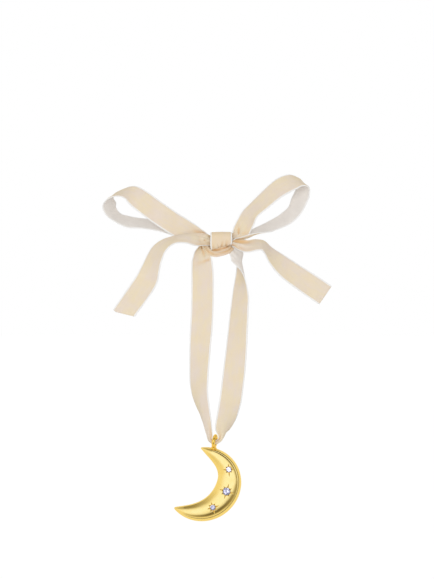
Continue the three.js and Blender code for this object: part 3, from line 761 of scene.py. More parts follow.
RIGHT_TAIL = [
    [5.2, -1.6, 6.4, -0.2, 0.3, 0.9, 0.26],
    [7.6, -3.2, 6.2, -0.2, 0.35, 0.9, 0.27],
    [9.5, -4.2, 5.7, -0.28, 0.45, 0.85, 0.42],
    [11.5, -4.9, 5.1, -0.22, 0.58, 0.8, 0.63],
    [13.8, -5.4, 4.7, -0.1, 0.74, 0.66, 0.8],
    [17.6, -5.9, 5.2, 0, 0.84, 0.54, 0.95],
    [20.5, -6.1, 4.9, 0.12, 0.88, 0.45, 1],
    [22.8, -6, 2.7, 0.25, 0.88, 0.4, 1],
    [25.4, -5.8, -0.3, 0.38, 0.73, 0.56, 1],
    [28.3, -5.4, -3, 0.47, 0.55, 0.69, 1],
    [32, -5, -6, 0.49, 0.37, 0.79, 1],
    [38.1, -4.3, -10.2, 0.51, 0.2, 0.84, 1],
    [43.4, -3.8, -13.7, 0.52, 0, 0.85, 1],
    [48.2, -3.4, -17, 0.53, 0, 0.85, 1],
]

KNOT_BAND = [
    [2.1, -2.6, 10.5, 1, 0, 0, 0.96],
    [2.1, -4.1, 9.4, 1, 0, 0, 0.96],
    [2.1, -4.5, 7.4, 0.99, 0, 0.1, 0.97],
    [1.95, -3.9, 5.2, 0.96, 0, 0.27, 0.95],
    [1.8, -1.6, 4.3, 0.96, 0, 0.27, 0.92],
    [2.1, 1.4, 4.3, 0.96, 0, 0.27, 0.99],
    [2.1, 3.6, 5.2, 0.97, 0, 0.24, 0.99],
    [2.1, 4.4, 7.1, 0.99, 0, 0.1, 0.98],
    [2.1, 3.9, 9.2, 1, 0, 0, 0.96],
    [2.1, 2, 10.4, 1, 0, 0, 0.96],
    [2.1, -0.3, 10.7, 1, 0, 0, 0.96],
]

KNOT_CORE = [[-1.9, 0, 7.1, 2.9, 2.5], [2, 0, 7.6, 3.2, 2.3], [6.2, 0, 8.1, 3, 1.5]]

HALF_KNOT = [
    [-4.3, 0.8, 7.2, 0.9, 0.1, 0.4, 0.40, -110],
    [-4.0, -0.4, 5.1, 0.85, 0, 0.5, 0.44, -125],
    [-2.7, -1.6, 3.1, 0.6, 0, 0.8, 0.47, -135],
    [-0.5, -2.3, 2.2, 0.1, 0, 1, 0.48, -140],
    [2.3, -2.3, 2.7, -0.1, 0, 1, 0.46, -140],
    [4.6, -1.6, 3.4, -0.25, 0, 0.95, 0.40, -130],
    [6.4, 0.2, 5.0, -0.6, 0, 0.8, 0.32, -110],
]


def folded_bundle(name, rows, folds, depth):
    """Ribbon packed lengthwise into a bundle, with folds running along it."""
    rows = np.asarray(rows, float)
    shares = np.linspace(0, 1, 60)
    middle = curve_through(rows[:, :3], shares)
    size = curve_through(np.c_[rows[:, 3:5], np.arange(len(rows)) * 1e-3], shares)
    tangent = normalised(np.gradient(middle, axis=0))
    deep = normalised(np.array([0, 1, 0]) - tangent * tangent[:, 1:2])
    tall = np.cross(tangent, deep)
    turn = np.linspace(0, 2 * math.pi, 96, endpoint=False)
    ripple = 1 - depth * (0.5 + 0.5 * np.cos(folds * turn[None, :] + shares[:, None] * 2))
    blunt = np.sqrt(np.clip(1 - (2 * shares - 1) ** 10, 0.02, 1))
    reach = ripple * blunt[:, None]
    points = (middle[:, None, :]
              + deep[:, None, :] * (size[:, :1] * np.cos(turn) * reach)[..., None]
              + tall[:, None, :] * (size[:, 1:2] * np.sin(turn) * reach)[..., None])
    count = len(turn)
    faces = [(i * count + j, i * count + (j + 1) % count,
              (i + 1) * count + (j + 1) % count, (i + 1) * count + j)
             for i in range(len(shares) - 1) for j in range(count)]
    faces += [tuple(range(count)), tuple(range(len(shares) * count - count, len(shares) * count))]
    # Painted shade: the pile is darkened warm in the hollows between the folds
    hollow = (1 - ripple) / depth
    places = np.stack([np.broadcast_to(turn * 2, hollow.shape),
                       np.broadcast_to(shares[:, None] * 8, hollow.shape)], axis=-1)
    return velvet_piece(name, points, faces, None, hollow * 0.9, places)


class ORNAMENT_OT_hanging_ribbon(bpy.types.Operator):
    """Adds the ribbon that hangs from the knot, runs through the ring and goes back up"""

    bl_idname = "ornament.hanging_ribbon"
    bl_label = "Hanging Ribbon"

    def execute(self, context):
        up = [r[:3] + [-r[3], -r[4], -r[5]] + r[6:] for r in reversed(RIGHT_STRAND)]
        creases = [
            ((-6.7, 5.0), (-5.5, 0.4), 0.5, 1.2, (0, 0.3)),
            ((-3.6, -1.2), (-9.2, -3.2), 0.9, 0.5, (0, 0.3)),
            ((-4.0, -0.1), (-8.8, -1.7), 0.8, -0.22, (0, 0.3)),
            ((-7.6, 1.2), (-7.9, -0.6), 0.9, -0.25, (0, 0.3)),
            ((-4.3, 1.4), (-3.6, 0.0), 0.6, -0.3, (0, 0.3)),
            ((6.2, 4.4), (10.3, 2.6), 0.4, -0.25, (0.7, 1)),
            ((9.4, -2.6), (10.6, -7.5), 0.6, 0.25, (0.7, 1)),
        ]
        add_ribbon("hanging_ribbon", ["left_strand", "ribbon_gather", "right_strand"], "hung",
                   LEFT_STRAND + BIGHT + up, creases)
        return {"FINISHED"}


class ORNAMENT_OT_bow_loops(bpy.types.Operator):
    """Adds the two loops of the bow"""

    bl_idname = "ornament.bow_loops"
    bl_label = "Bow Loops"

    def execute(self, context):
        add_ribbon("left_loop_ribbon", ["left_loop"], "folded", LEFT_LOOP, [
            ((-4.6, 10.2), (-14.5, 11.9), 0.9, 0.6, (0, 0.4)),
            ((-4.4, 11.0), (-10.5, 14.0), 0.6, -0.25, (0, 0.4))])
        add_ribbon("right_loop_ribbon", ["right_loop"], "folded", RIGHT_LOOP, [
            ((9.9, 10.2), (9.9, 13.4), 0.5, 0.75, (0, 0.35)),
            ((8.4, 10.6), (8.6, 13.2), 0.6, -0.3, (0, 0.35)),
            ((10.6, 10.2), (14.4, 10.9), 0.5, 0.35, (0, 0.35)),
            ((7.2, 7.4), (12.6, 8.2), 0.32, 0.55, (0.8, 1)),
            ((8.5, 6.6), (15, 7.6), 0.5, -0.15, (0.8, 1))])
        return {"FINISHED"}


class ORNAMENT_OT_bow_tails(bpy.types.Operator):
    """Adds the two loose ends of the bow"""

    bl_idname = "ornament.bow_tails"
    bl_label = "Bow Tails"

    def execute(self, context):
        start, end = (Vector(p) for p in LEFT_TAIL_CUT)
        line = end - start
        cut = (start, (line.z, 0, -line.x))
        add_ribbon("left_tail_ribbon", ["left_tail"], "hung", LEFT_TAIL, [
            ((-5.4, 7.35), (-2.8, 7.45), 0.42, 0.8, (0, 0.4)),
            ((-7.6, 8.5), (-7.0, 6.6), 0.8, 0.4, (0, 0.4)),
            ((-5.2, 9.3), (-3.4, 9.3), 0.8, -0.25, (0, 0.4)),
            ((-9.6, 8.6), (-9.4, 6.8), 0.9, -0.15, (0, 0.4)),
            ((-6.5, 11.2), (-15, 11.4), 0.8, 0.3, (0, 0.4))], cut=cut, roots=(0.5, 0),
            tucked=(-1, 0.33))
        add_ribbon("right_tail_ribbon", ["right_tail"], "hung", RIGHT_TAIL, [
            ((8.6, 6.6), (18, 6.2), 1.0, 0.6, (0, 0.35)),
            ((9.4, 5.4), (13, 4.2), 0.5, -0.25, (0, 0.35)),
            ((10.2, 4.4), (13, 2.8), 0.4, 0.25, (0, 0.35))], roots=(0.5, 0), tucked=(1, 0.34))
        return {"FINISHED"}


class ORNAMENT_OT_knot(bpy.types.Operator):
    """Adds the knot: its band, the folds packed inside it and the half knot under it"""

    bl_idname = "ornament.knot"
    bl_label = "Knot"

    def execute(self, context):
        # The band and the half knot get painted shade all along, for the shade that lies in the knot
        front = (0, 0.42)
        add_ribbon("knot_band_ribbon", ["knot_band"], "folded", KNOT_BAND, [
            ((2.0, 4.0), (2.9, 7.2), 0.42, 0.6, front), ((-1.5, 3.1), (1.2, 3.0), 0.45, 0.5, front),
            ((4.0, 4.6), (4.8, 7.4), 0.4, 0.4, front), ((0.3, 3.9), (0.1, 5.2), 0.55, -0.35, front),
            ((3.3, 4.3), (3.8, 5.6), 0.4, -0.3, front), ((-1.3, 4.2), (-1.8, 6.6), 0.5, 0.25, front),
            ((0.9, 4.4), (0.6, 6.0), 0.3, 0.3, front)],
            closed=True, step=0.2, warmth=0.28, roots=(0, 0))
        core = folded_bundle("knot_folds", KNOT_CORE, 5, 0.16)
        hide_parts("knot_core")
        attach(core, "ribbon")
        add_ribbon("half_knot_ribbon", ["half_knot"], "gathered", HALF_KNOT, [
            ((-2.6, 3.0), (4.6, 2.7), 0.35, 0.4, (0, 1)),
            ((-0.8, 1.4), (3.4, 1.7), 0.4, -0.25, (0, 1))], step=0.2, bend=2.6, warmth=0.3,
            roots=(0.2, 0.2))
        return {"FINISHED"}


# Moon

MOON_LEAN = math.radians(23.9)
MOON_FRAME = (Matrix.Translation(Vector((-12.98, 0, -98.15)) * MM)
              @ Matrix.Rotation(MOON_LEAN, 4, "Y"))
OUTER_CENTRE = (0.33, 7.8)
OUTER_RADII = (17.08, 16.16)
OUTER_TURN = math.radians(29.7)
TIP_REACH = 14.4
CROWN = (2.3, 12.8)

# Where the hollow edge's handles lie: shares of the tip's reach and of the crown's height
UPPER_HANDLES = ((0.75, 0.6), (0.68, 1))
LOWER_HANDLES = ((-0.57, 1), (-0.82, 0.24))

# Heights and widths of the crescent, in millimetres
BACK_Y = 1.5
EDGE_HEIGHT = 1.2
INNER_BEVEL = 0.3
ROUND_BACK = 0.16
TIP_HEIGHT = 0.55

# Shares: how far the dome falls, where its crest lies across, how high up the edge the points
# of both walls lie, and how much of the length closes at each tip
DOME_FALL = 0.62
CREST_SHARE = 0.52
OUTER_WALL = (0.7, 0.35, 0.13)
INNER_WALL = (0.16, 0.4, 0.75)
CLOSED_TIP = 0.010

# How many points lie along the crescent and across each of its parts
ALONG_STEPS = 520
BEVEL_COLUMNS = 4
DOME_COLUMNS = 110
RIM_COLUMNS = 36
ENGRAVED_RIM_COLUMNS = 30

# Points of the skin that are closer than this, in metres, are merged
SKIN_MERGE = 2e-7

# The star's rays and the seats that are cut into the face, in millimetres but for the count
# of the rays and the slope
RAYS = 8
RAY_WIDTH = 0.36
BURR_WIDTH = 0.09
BURR_HEIGHT = 0.035
SEAT_ROOM = 0.01
SEAT_WALL = 0.08
SEAT_DEPTH = 0.3
SEAT_SLOPE = 1.1

SETTINGS = [
    {"name": "upper_stone", "along": 0.311, "across": 0.544, "turn": 28, "centre": False,
     "rays": (1.04, 0.76, 1.04, 0.76, 1.36, 0.76, 1, 0.76)},
    {"name": "centre_stone", "along": 0.5, "across": 0.483, "turn": 7, "centre": True,
     "rays": (1.03, 0.77, 1.03, 0.77, 1.03, 0.77, 1.03, 0.77)},
    {"name": "lower_stone", "along": 0.667, "across": 0.492, "turn": 40, "centre": False,
     "rays": (1.04, 0.88, 1.04, 0.88, 1.2, 0.88, 1.2, 0.88)},
]


def cubic(corners, shares):
    a, b, c, d = (np.array(p, float) for p in corners)
    t = shares[:, None]
    return (1 - t) ** 3 * a + 3 * (1 - t) ** 2 * t * b + 3 * (1 - t) * t**2 * c + t**3 * d


def inner_edge(shares):
    """The hollow edge of the crescent, upper tip to lower tip, even along each half."""
    fine = np.linspace(0, 1, 1500)
    above, below = ([(TIP_REACH * reach, CROWN[1] * height) for reach, height in handles]
                    for handles in (UPPER_HANDLES, LOWER_HANDLES))
    upper = cubic([(TIP_REACH, 0), *above, CROWN], fine)
    lower = cubic([CROWN, *below, (-TIP_REACH, 0)], fine)
    points = np.empty((len(shares), 2))
    for half, start in ((upper, 0.0), (lower, 0.5)):
        run = np.concatenate([[0], np.cumsum(np.linalg.norm(np.diff(half, axis=0), axis=1))])
        mine = (shares >= start) & (shares <= start + 0.5)
        marks = (shares[mine] - start) * 2 * run[-1]
        points[mine] = np.c_[np.interp(marks, run, half[:, 0]), np.interp(marks, run, half[:, 1])]
    return points


def ellipse_angle(u, v):
    x, y = u - OUTER_CENTRE[0], v - OUTER_CENTRE[1]
    c, s = math.cos(OUTER_TURN), math.sin(OUTER_TURN)
    return math.atan2((y * c - x * s) / OUTER_RADII[1], (x * c + y * s) / OUTER_RADII[0])


def outer_point(angles):
    x, y = OUTER_RADII[0] * np.cos(angles), OUTER_RADII[1] * np.sin(angles)
    c, s = math.cos(OUTER_TURN), math.sin(OUTER_TURN)
    return np.stack([x * c - y * s + OUTER_CENTRE[0], x * s + y * c + OUTER_CENTRE[1]], axis=-1)


def outer_edge(shares):
    start, end = ellipse_angle(TIP_REACH, 0), ellipse_angle(-TIP_REACH, 0)
    return outer_point(start + (end - start) * shares)


def widest():
    half = np.array([0.5])
    return float(np.linalg.norm(outer_edge(half) - inner_edge(half)))


def rim_share(width):
    rim = bpy.context.scene.ornament_moon.rim / MM
    return np.minimum(0.45, rim / width)


def dome_rise(share, width, crisp=1.0):
    """Height over the edge: a dome that falls to a crease, then a rim that rolls over."""
    crest = bpy.context.scene.ornament_moon.dome / MM * np.minimum(1, width / widest()) ** 0.8
    rim = rim_share(width)
    inside = np.minimum(share, 1 - rim) - CREST_SHARE
    outer = 1 - rim - CREST_SHARE
    fall = np.where(inside > 0, (outer / CREST_SHARE) ** 2
                    * (np.maximum(inside, 0) / outer) ** 2.6, (inside / CREST_SHARE) ** 2)
    dome = crest * (1 - DOME_FALL * fall)
    turn = np.clip((share - (1 - rim)) / rim, 0, 1)
    power = 2.0 * crisp + 1.4 * (1 - crisp)
    return dome * np.sqrt(np.maximum(0, 1 - turn**power))


def nearest_share(u, v):
    """Where a place on the crescent lies: the share along it, across it and its width."""
    along = np.linspace(0.05, 0.95, 3601)
    start, end = inner_edge(along), outer_edge(along)
    span = end - start
    width = np.linalg.norm(span, axis=1)
    here = np.array([u, v])
    share = ((here - start) * span).sum(1) / width**2
    miss = np.linalg.norm(start + span * share[:, None] - here, axis=1)
    best = int(miss.argmin())
    return along[best], share[best], width[best]


def face_height(u, v):
    _, share, width = nearest_share(u, v)
    return EDGE_HEIGHT + float(dome_rise(np.array(share), np.array(width)))


def setting_frame(setting):
    """A frame on the face at a stone: its z axis stands out of the metal."""
    along = np.array([setting["along"]])
    start, end = inner_edge(along)[0], outer_edge(setting["along"])
    u, v = start + (end - start) * setting["across"]
    step = 0.4
    slope_u = (face_height(u + step, v) - face_height(u - step, v)) / (2 * step)
    slope_v = (face_height(u, v + step) - face_height(u, v - step)) / (2 * step)
    outward = Vector((-slope_v, -1, -slope_u)).normalized()
    up = Vector((0, 0, 1))
    upright = (up - outward * up.dot(outward)).normalized()
    side = outward.cross(upright)
    turned = Matrix((upright, side, outward)).transposed().to_4x4()
    return Matrix.Translation(Vector((v, BACK_Y - face_height(u, v), u))) @ turned


def stone_size(setting):
    look = bpy.context.scene.ornament_stones
    return (look.centre if setting["centre"] else look.side) / MM


def engraved(points):
    """How far the face is cut in at each point: the seats and the rays round them."""
    look = bpy.context.scene.ornament_moon
    cut = np.zeros(len(points))
    for setting in SETTINGS:
        frame_in = np.array(setting_frame(setting).inverted())
        local = points @ frame_in[:3, :3].T + frame_in[:3, 3]
        distance = np.hypot(local[:, 0], local[:, 1])
        angle = np.arctan2(local[:, 1], local[:, 0]) - math.radians(setting["turn"])
        radius = stone_size(setting) / 2
        rays = np.zeros(len(points))
        for i, reach in enumerate(np.array(setting["rays"]) * radius * 2):
            a = angle - i * 2 * math.pi / RAYS
            forward, aside = distance * np.cos(a), np.abs(distance * np.sin(a))
            left = np.clip((reach - forward) / (reach - radius * 0.8), 0, 1)
            wide = RAY_WIDTH * left**0.9
            v_cut = np.clip(1 - aside / np.maximum(wide, 1e-6), 0, 1)
            here = (forward > 0) & (left > 0) & (left <= 1)
            depth = look.groove / MM * np.minimum(1, left * 1.6)
            rays = np.maximum(rays, np.where(here, v_cut * depth, 0))
            burr = np.exp(-((aside - wide) / BURR_WIDTH) ** 2) * BURR_HEIGHT * left
            rays = rays - np.where(here & (v_cut <= 0), burr, 0)
        wall = np.clip((radius - SEAT_ROOM - distance) / SEAT_WALL, 0, 1)
        seat = wall * (SEAT_DEPTH + np.clip(radius - distance, 0, None) * SEAT_SLOPE)
        cut = cut + np.maximum(rays, seat)
    return cut


def moon_surface():
    """Points of the crescent's skin in its own frame: rows along it, each a closed loop."""
    even = np.linspace(0, 1, ALONG_STEPS)
    crowded = 0.5 - 0.5 * np.cos(math.pi * even)
    along = 0.004 + 0.992 * (0.75 * even + 0.25 * crowded)
    start, end = inner_edge(along), outer_edge(along)
    width = np.maximum(np.linalg.norm(end - start, axis=1), 0.5)
    direction = normalised(end - start)
    centre = (start + end) / 2
    rim = rim_share(width)
    bevel = np.minimum(0.2, INNER_BEVEL / width)

    def stretch(low, high, count):
        return low + (high - low) * np.linspace(0, 1, count, endpoint=False)[None, :]

    bevel_part = stretch(0, bevel[:, None], BEVEL_COLUMNS)
    dome_part = stretch(bevel[:, None], 1 - rim[:, None], DOME_COLUMNS)
    rim_part = 1 - rim[:, None] * np.cos(np.linspace(0, math.pi / 2, RIM_COLUMNS))[None, :]
    share = np.concatenate([bevel_part, dome_part, rim_part], axis=1)
    high = EDGE_HEIGHT * np.minimum(1, 0.55 + width / widest())
    crisp = 0.25 + 0.75 * np.abs(2 * even - 1) ** 1.5
    rise = dome_rise(share, width[:, None], crisp[:, None])
    chamfer = INNER_BEVEL * 0.7 * (1 - np.clip(share / bevel[:, None], 0, 1)) ** 2
    top = high[:, None] + rise - chamfer
    ones = np.ones((len(along), 1))
    back = [1 - ROUND_BACK / width, *(ones[:, 0] * s for s in (0.75, 0.5, 0.25)),
            ROUND_BACK / width]
    share = np.concatenate([share] + [ones for _ in OUTER_WALL] + [s[:, None] for s in back]
                           + [ones * 0 for _ in INNER_WALL], axis=1)
    height = np.concatenate(
        [top] + [high[:, None] * h for h in OUTER_WALL] + [ones * 0 for _ in back]
        + [high[:, None] * h for h in INNER_WALL], axis=1)
    short = ((CLOSED_TIP - np.minimum(even, 1 - even)) / CLOSED_TIP).clip(0, 1)
    closing = np.sqrt(np.clip(1 - short**2, 0, 1))[:, None]
    share = 0.5 + (share - 0.5) * closing
    height = TIP_HEIGHT + (height - TIP_HEIGHT) * closing
    aside = (share - 0.5) * width[:, None]
    flat = centre[:, None, :] + direction[:, None, :] * aside[..., None]
    return np.stack([flat[..., 1], BACK_Y - height, flat[..., 0]], axis=-1)


def join_all(pieces):
    """Joins pieces into the last of them."""
    for piece in pieces:
        piece.select_set(True)
    bpy.context.view_layer.objects.active = pieces[-1]
    bpy.ops.object.join()


def placed(piece, matrix):
    """Puts a piece in its place and leaves the place in its mesh."""
    only(piece)
    piece.matrix_world = matrix
    bpy.ops.object.transform_apply(location=True, rotation=True, scale=True)


class ORNAMENT_OT_moon(bpy.types.Operator):
    """Adds the domed crescent with the star cut round each stone"""

    bl_idname = "ornament.moon"
    bl_label = "Moon"

    def execute(self, context):
        points = moon_surface()
        rows, columns = points.shape[:2]
        face_end = BEVEL_COLUMNS + DOME_COLUMNS + ENGRAVED_RIM_COLUMNS
        face_columns = slice(BEVEL_COLUMNS, face_end)
        face = points[:, face_columns].reshape(-1, 3)
        points[:, face_columns, 1] += engraved(face).reshape(rows, -1)
        looped = np.concatenate([points, points[:, :1]], axis=1)
        select_none()
        bpy.ops.mesh.primitive_grid_add(x_subdivisions=columns, y_subdivisions=rows - 1, size=1)
        piece = context.active_object
        piece.name = piece.data.name = "crescent"
        skin = (looped.reshape(-1, 3) * MM).astype(np.float32)
        piece.data.vertices.foreach_set("co", skin.ravel())
        piece.data.update()
        face_outwards(piece, merge=SKIN_MERGE)
        bpy.ops.object.shade_smooth_by_angle(angle=math.radians(50))
        placed(piece, MOON_FRAME)
        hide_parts("moon_body")
        plate(piece, "polished_gold", context.scene.ornament_moon.gold)
        return {"FINISHED"}


# Ring

RING_SHARE = 0.0865
RING_LEAN = math.radians(8)
RING_YAW = math.radians(-13)
RING_SINK = 0.25
LAND_DEPTH = 0.35
PIECE_GAP = 0.3
SOLDER_GRAIN = 0.07

# Radius at the foot, at the neck, and the height of both over the moon's land, in mm
SOLDER_FLARE = ((1.5, 1.35, -0.4, 0.2), (1.4, 1.0, 0.1, 0.6), (1.05, 0.6, 0.5, 1.4))


def foot_frame():
    """A frame on the moon's upper edge, where the ring stands."""
    u, v = outer_edge(RING_SHARE)
    return (MOON_FRAME @ Matrix.Translation(Vector((v, 0, u)) * MM)
            @ Matrix.Rotation(RING_LEAN - MOON_LEAN, 4, "Y"))


class ORNAMENT_OT_ring(bpy.types.Operator):
    """Adds the round ring and the solder that runs up from the moon to hold it"""

    bl_idname = "ornament.ring"
    bl_label = "Ring"

    def execute(self, context):
        look = context.scene.ornament_moon
        select_none()
        lift = (PIECE_GAP - LAND_DEPTH) * MM
        middle = lift + look.ring / 2 - RING_SINK * MM
        bpy.ops.mesh.primitive_torus_add(
            major_radius=(look.ring - look.wire) / 2, minor_radius=look.wire / 2,
            major_segments=160, minor_segments=40, location=(0, 0, 0),
            rotation=(0, math.pi / 2, 0))
        ring = context.active_object
        ring.name = ring.data.name = "ring"
        placed(ring, Matrix.Translation((0, 0, middle)) @ ring.matrix_world)
        flare = []
        for foot, neck, low, high in SOLDER_FLARE:
            bpy.ops.mesh.primitive_cone_add(
                vertices=48, radius1=foot * MM, radius2=neck * MM, depth=(high - low) * MM,
                location=(0, 0, lift + (low + high) / 2 * MM))
            flare.append(context.active_object)
        join_all([*flare, ring])
        remesh = ring.modifiers.new("solder flow", "REMESH")
        remesh.mode = "VOXEL"
        remesh.voxel_size = SOLDER_GRAIN * MM
        smooth = ring.modifiers.new("solder skin", "SMOOTH")
        smooth.factor = 0.5
        smooth.iterations = 8
        for modifier in ("solder flow", "solder skin"):
            bpy.ops.object.modifier_apply(modifier=modifier)
        bpy.ops.object.shade_smooth()
        placed(ring, foot_frame() @ Matrix.Rotation(RING_YAW, 4, "Z"))
        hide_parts("hanging_ring")
        plate(ring, "ring_gold", shaded(look.gold, 0.97, 0.87, 0.55))
        return {"FINISHED"}


# Stones

# How deep a stone sits, in millimetres, and its girdle's height, in stone radii
STONE_SINK = 0.25
GIRDLE = 0.05

# Corners of each level of a stone, their reach and height in stone radii, and their turn
STONE_CUT = (
    (8, 0.56, 0.34, 0),
    (8, 0.80, 0.21, math.pi / 8),
    (8, 0.30, -0.66, math.pi / 8),
    (3, 0.01, -0.86, 0),
)


def stone_frame(setting):
    """The frame of a stone's setting, in metres in the room."""
    place = setting_frame(setting)
    place.translation = place.translation * MM
    return MOON_FRAME @ place


class ORNAMENT_OT_grains(bpy.types.Operator):
    """Adds the grains of metal that are pushed over the edge of each stone"""

    bl_idname = "ornament.grains"
    bl_label = "Grains"

    def execute(self, context):
        look = context.scene.ornament_moon
        for setting in SETTINGS:
            select_none()
            out = stone_size(setting) / 2 * MM + look.grain * 0.12
            grains = []
            for i in range(RAYS):
                a = math.radians(setting["turn"] + 180 / RAYS) + i * 2 * math.pi / RAYS
                bpy.ops.mesh.primitive_ico_sphere_add(
                    subdivisions=3, radius=look.grain / 2,
                    location=(out * math.cos(a), out * math.sin(a), -look.grain * 0.18))
                grains.append(context.active_object)
            join_all(grains)
            piece = context.active_object
            piece.name = piece.data.name = setting["name"] + "_grains"
            bpy.ops.object.transform_apply(location=True, rotation=True, scale=True)
            bpy.ops.object.shade_smooth()
            placed(piece, stone_frame(setting))
            plate(piece, "polished_gold", look.gold)
        return {"FINISHED"}


class ORNAMENT_OT_stones(bpy.types.Operator):
    """Adds the three round cut stones in their seats"""

    bl_idname = "ornament.stones"
    bl_label = "Stones"

    def execute(self, context):
        for setting in SETTINGS:
            radius = stone_size(setting) / 2 * MM
            select_none()
            bpy.ops.mesh.primitive_circle_add(vertices=16, radius=radius, location=(0, 0, 0))
            piece = context.active_object
            piece.name = piece.data.name = setting["name"] + "_cut"
            only(piece)
            bpy.ops.object.mode_set(mode="EDIT")
            bpy.ops.mesh.select_all(action="SELECT")
            bpy.ops.mesh.extrude_region_move(
                TRANSFORM_OT_translate={"value": (0, 0, radius * GIRDLE)})
            for count, size, level, turn in STONE_CUT:
                bpy.ops.mesh.primitive_circle_add(
                    vertices=count, radius=radius * size, location=(0, 0, radius * level),
                    rotation=(0, 0, turn))
            bpy.ops.mesh.select_all(action="SELECT")
            bpy.ops.mesh.convex_hull()
            bpy.ops.mesh.normals_make_consistent(inside=False)
            bpy.ops.object.mode_set(mode="OBJECT")
            piece.data.materials.append(finish_named("cut_crystal", cut_crystal))
            piece.data.materials.append(finish_named("silvered_facets", silvered_facets))
            for polygon in piece.data.polygons:
                polygon.material_index = 1 if polygon.normal.z < -0.2 else 0
            sunk = Matrix.Translation((0, 0, -STONE_SINK * MM))
            placed(piece, stone_frame(setting) @ sunk)
            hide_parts(setting["name"])
            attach(piece, "pendant")
        return {"FINISHED"}


# Stage

VIEW_CENTRE = (0.22 * MM, 0, -14.44 * MM)
SENSOR = 36.0
SOFTBOX_SIZE = 0.62
SOFTBOX_PLACE = (-0.12, -0.95, 0.1)
SOFTBOX_AIM = (0, 0, -0.06)
FLOOR_Z = -0.165
FLOOR_SIZE = 12


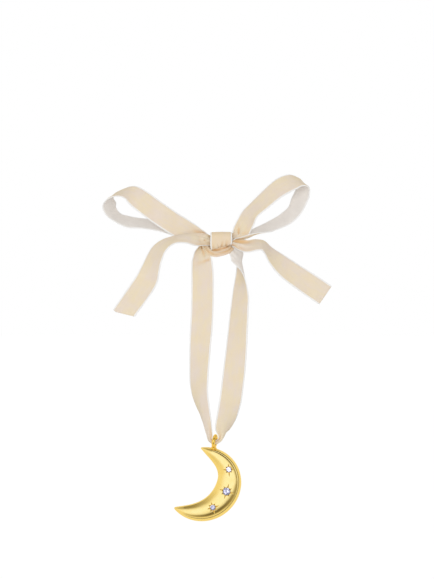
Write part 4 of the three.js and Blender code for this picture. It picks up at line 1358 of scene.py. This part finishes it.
class ORNAMENT_OT_stage(bpy.types.Operator):
    """Adds the camera, the even white surroundings, the softbox and the pale floor"""

    bl_idname = "ornament.stage"
    bl_label = "Stage"

    def execute(self, context):
        look = context.scene.ornament_stage
        distance = look.view_height * look.lens / SENSOR
        lens = bpy.data.cameras.new("camera")
        lens.lens = look.lens
        lens.sensor_width = SENSOR
        lens.clip_end = 20
        camera = bpy.data.objects.new("camera", lens)
        camera.location = (VIEW_CENTRE[0], -distance, VIEW_CENTRE[2])
        camera.rotation_euler = (math.pi / 2, 0, 0)
        context.scene.collection.objects.link(camera)
        context.scene.camera = camera

        lamp = bpy.data.lights.new("softbox", "AREA")
        lamp.shape = "SQUARE"
        lamp.size = SOFTBOX_SIZE
        lamp.energy = look.softbox
        softbox = bpy.data.objects.new("softbox", lamp)
        softbox.location = SOFTBOX_PLACE
        aim = Vector(SOFTBOX_AIM) - softbox.location
        softbox.rotation_euler = aim.to_track_quat("-Z", "Y").to_euler()
        softbox.visible_glossy = False
        context.scene.collection.objects.link(softbox)

        self.surroundings(context, look)
        self.floor(context)
        context.scene.view_settings.view_transform = "Standard"
        return {"FINISHED"}

    def surroundings(self, context, look):
        """White to the eye. The metal mirrors a white studio with a soft dark band round it,
        and light that comes through the stones is broken into patches."""
        world = bpy.data.worlds.new("surroundings")
        context.scene.world = world
        nodes = Nodes(world)
        toward = nodes.node("ShaderNodeTexCoord", output="Generated")
        x, y, z = nodes.split(toward)
        frontness = y * -1
        off_axis = (x * x + z * z + 0.0001) ** 0.5
        rightward, upward = x / off_axis, z / off_axis
        facing = frontness - (z * -1).clamped() * 0.56 - z.clamped() * 0.14
        band = facing.ramp(0.17, 0.53) * (1 - facing.ramp(0.70, 0.91))
        shade = (upward * upward * 0.65 + rightward * 0.36 + upward * 0.06 + 0.24).clamped()
        wall = nodes.mix(band * shade, (1.0, 0.96, 0.78), (0.10, 0.07, 0.015))
        studio = nodes.mix(facing.ramp(0.66, 0.985), wall, (1.12, 1.25, 1.6))
        dusk = (x * 9 + z * 5).sine() * (z * 8 - x * 4 + 1).sine()
        sparkle = nodes.mix(dusk.ramp(0.2, 0.6), (1.05, 1.05, 1.08), (0.24, 0.24, 0.29))
        white = (1, 1, 1, 1)
        lit = nodes.mix_shader(
            nodes.ray("Glossy"), nodes.background(white, look.sky), nodes.background(studio))
        lit = nodes.mix_shader(nodes.ray("Transmission"), lit, nodes.background(sparkle))
        nodes.finish(nodes.mix_shader(nodes.ray("Camera"), lit, nodes.background(white)),
                     "ShaderNodeOutputWorld")

    def floor(self, context):
        """A pale floor far below, white to the eye, that takes only a soft shadow."""
        select_none()
        bpy.ops.mesh.primitive_plane_add(size=FLOOR_SIZE, location=(0, 0, FLOOR_Z))
        floor = context.active_object
        floor.name = floor.data.name = "floor"
        material, nodes = new_finish("pale_floor")
        matt = nodes.node("ShaderNodeBsdfDiffuse", inputs={"Color": (0.92, 0.92, 0.92, 1)})
        white = nodes.node("ShaderNodeEmission", inputs={"Color": (1, 1, 1, 1), "Strength": 1.03})
        plain = (nodes.ray("Camera") + nodes.ray("Glossy") + nodes.ray("Transmission")).clamped()
        nodes.finish(nodes.mix_shader(plain * 0.97, matt, white))
        floor.data.materials.append(material)
        floor.visible_glossy = False
        floor.visible_transmission = False


class ORNAMENT_PT_panel(bpy.types.Panel):
    """Lists the pieces of the ornament in the order in which they are made"""

    bl_label = "Moon Ornament"
    bl_space_type = "VIEW_3D"
    bl_region_type = "UI"
    bl_category = "Ornament"

    def draw(self, context):
        for operator in PIECES:
            self.layout.operator(operator.bl_idname)
        for group, fields in SETTINGS_SHOWN:
            box = self.layout.box()
            for field in fields:
                box.prop(getattr(context.scene, group), field)


PIECES = (
    ORNAMENT_OT_stage,
    ORNAMENT_OT_hanging_ribbon,
    ORNAMENT_OT_bow_loops,
    ORNAMENT_OT_bow_tails,
    ORNAMENT_OT_knot,
    ORNAMENT_OT_moon,
    ORNAMENT_OT_ring,
    ORNAMENT_OT_grains,
    ORNAMENT_OT_stones,
)
SETTINGS_SHOWN = (
    ("ornament_ribbon", ("width", "cream", "blush", "reverse", "edge")),
    ("ornament_moon", ("dome", "rim", "groove", "gold")),
    ("ornament_stones", ("centre", "side")),
    ("ornament_stage", ("lens", "sky", "softbox")),
)
GROUPS = {
    "ornament_ribbon": RibbonSettings,
    "ornament_moon": MoonSettings,
    "ornament_stones": StoneSettings,
    "ornament_stage": StageSettings,
}
CLASSES = (*GROUPS.values(), *PIECES, ORNAMENT_PT_panel)


def register():
    for made in CLASSES:
        bpy.utils.register_class(made)
    for name, group in GROUPS.items():
        setattr(bpy.types.Scene, name, PointerProperty(type=group))


def unregister():
    for name in GROUPS:
        delattr(bpy.types.Scene, name)
    for made in reversed(CLASSES):
        bpy.utils.unregister_class(made)


def main():
    register()
    for piece in PIECES:
        group, name = piece.bl_idname.split(".")
        getattr(getattr(bpy.ops, group), name)()


if __name__ == "__main__":
    main()
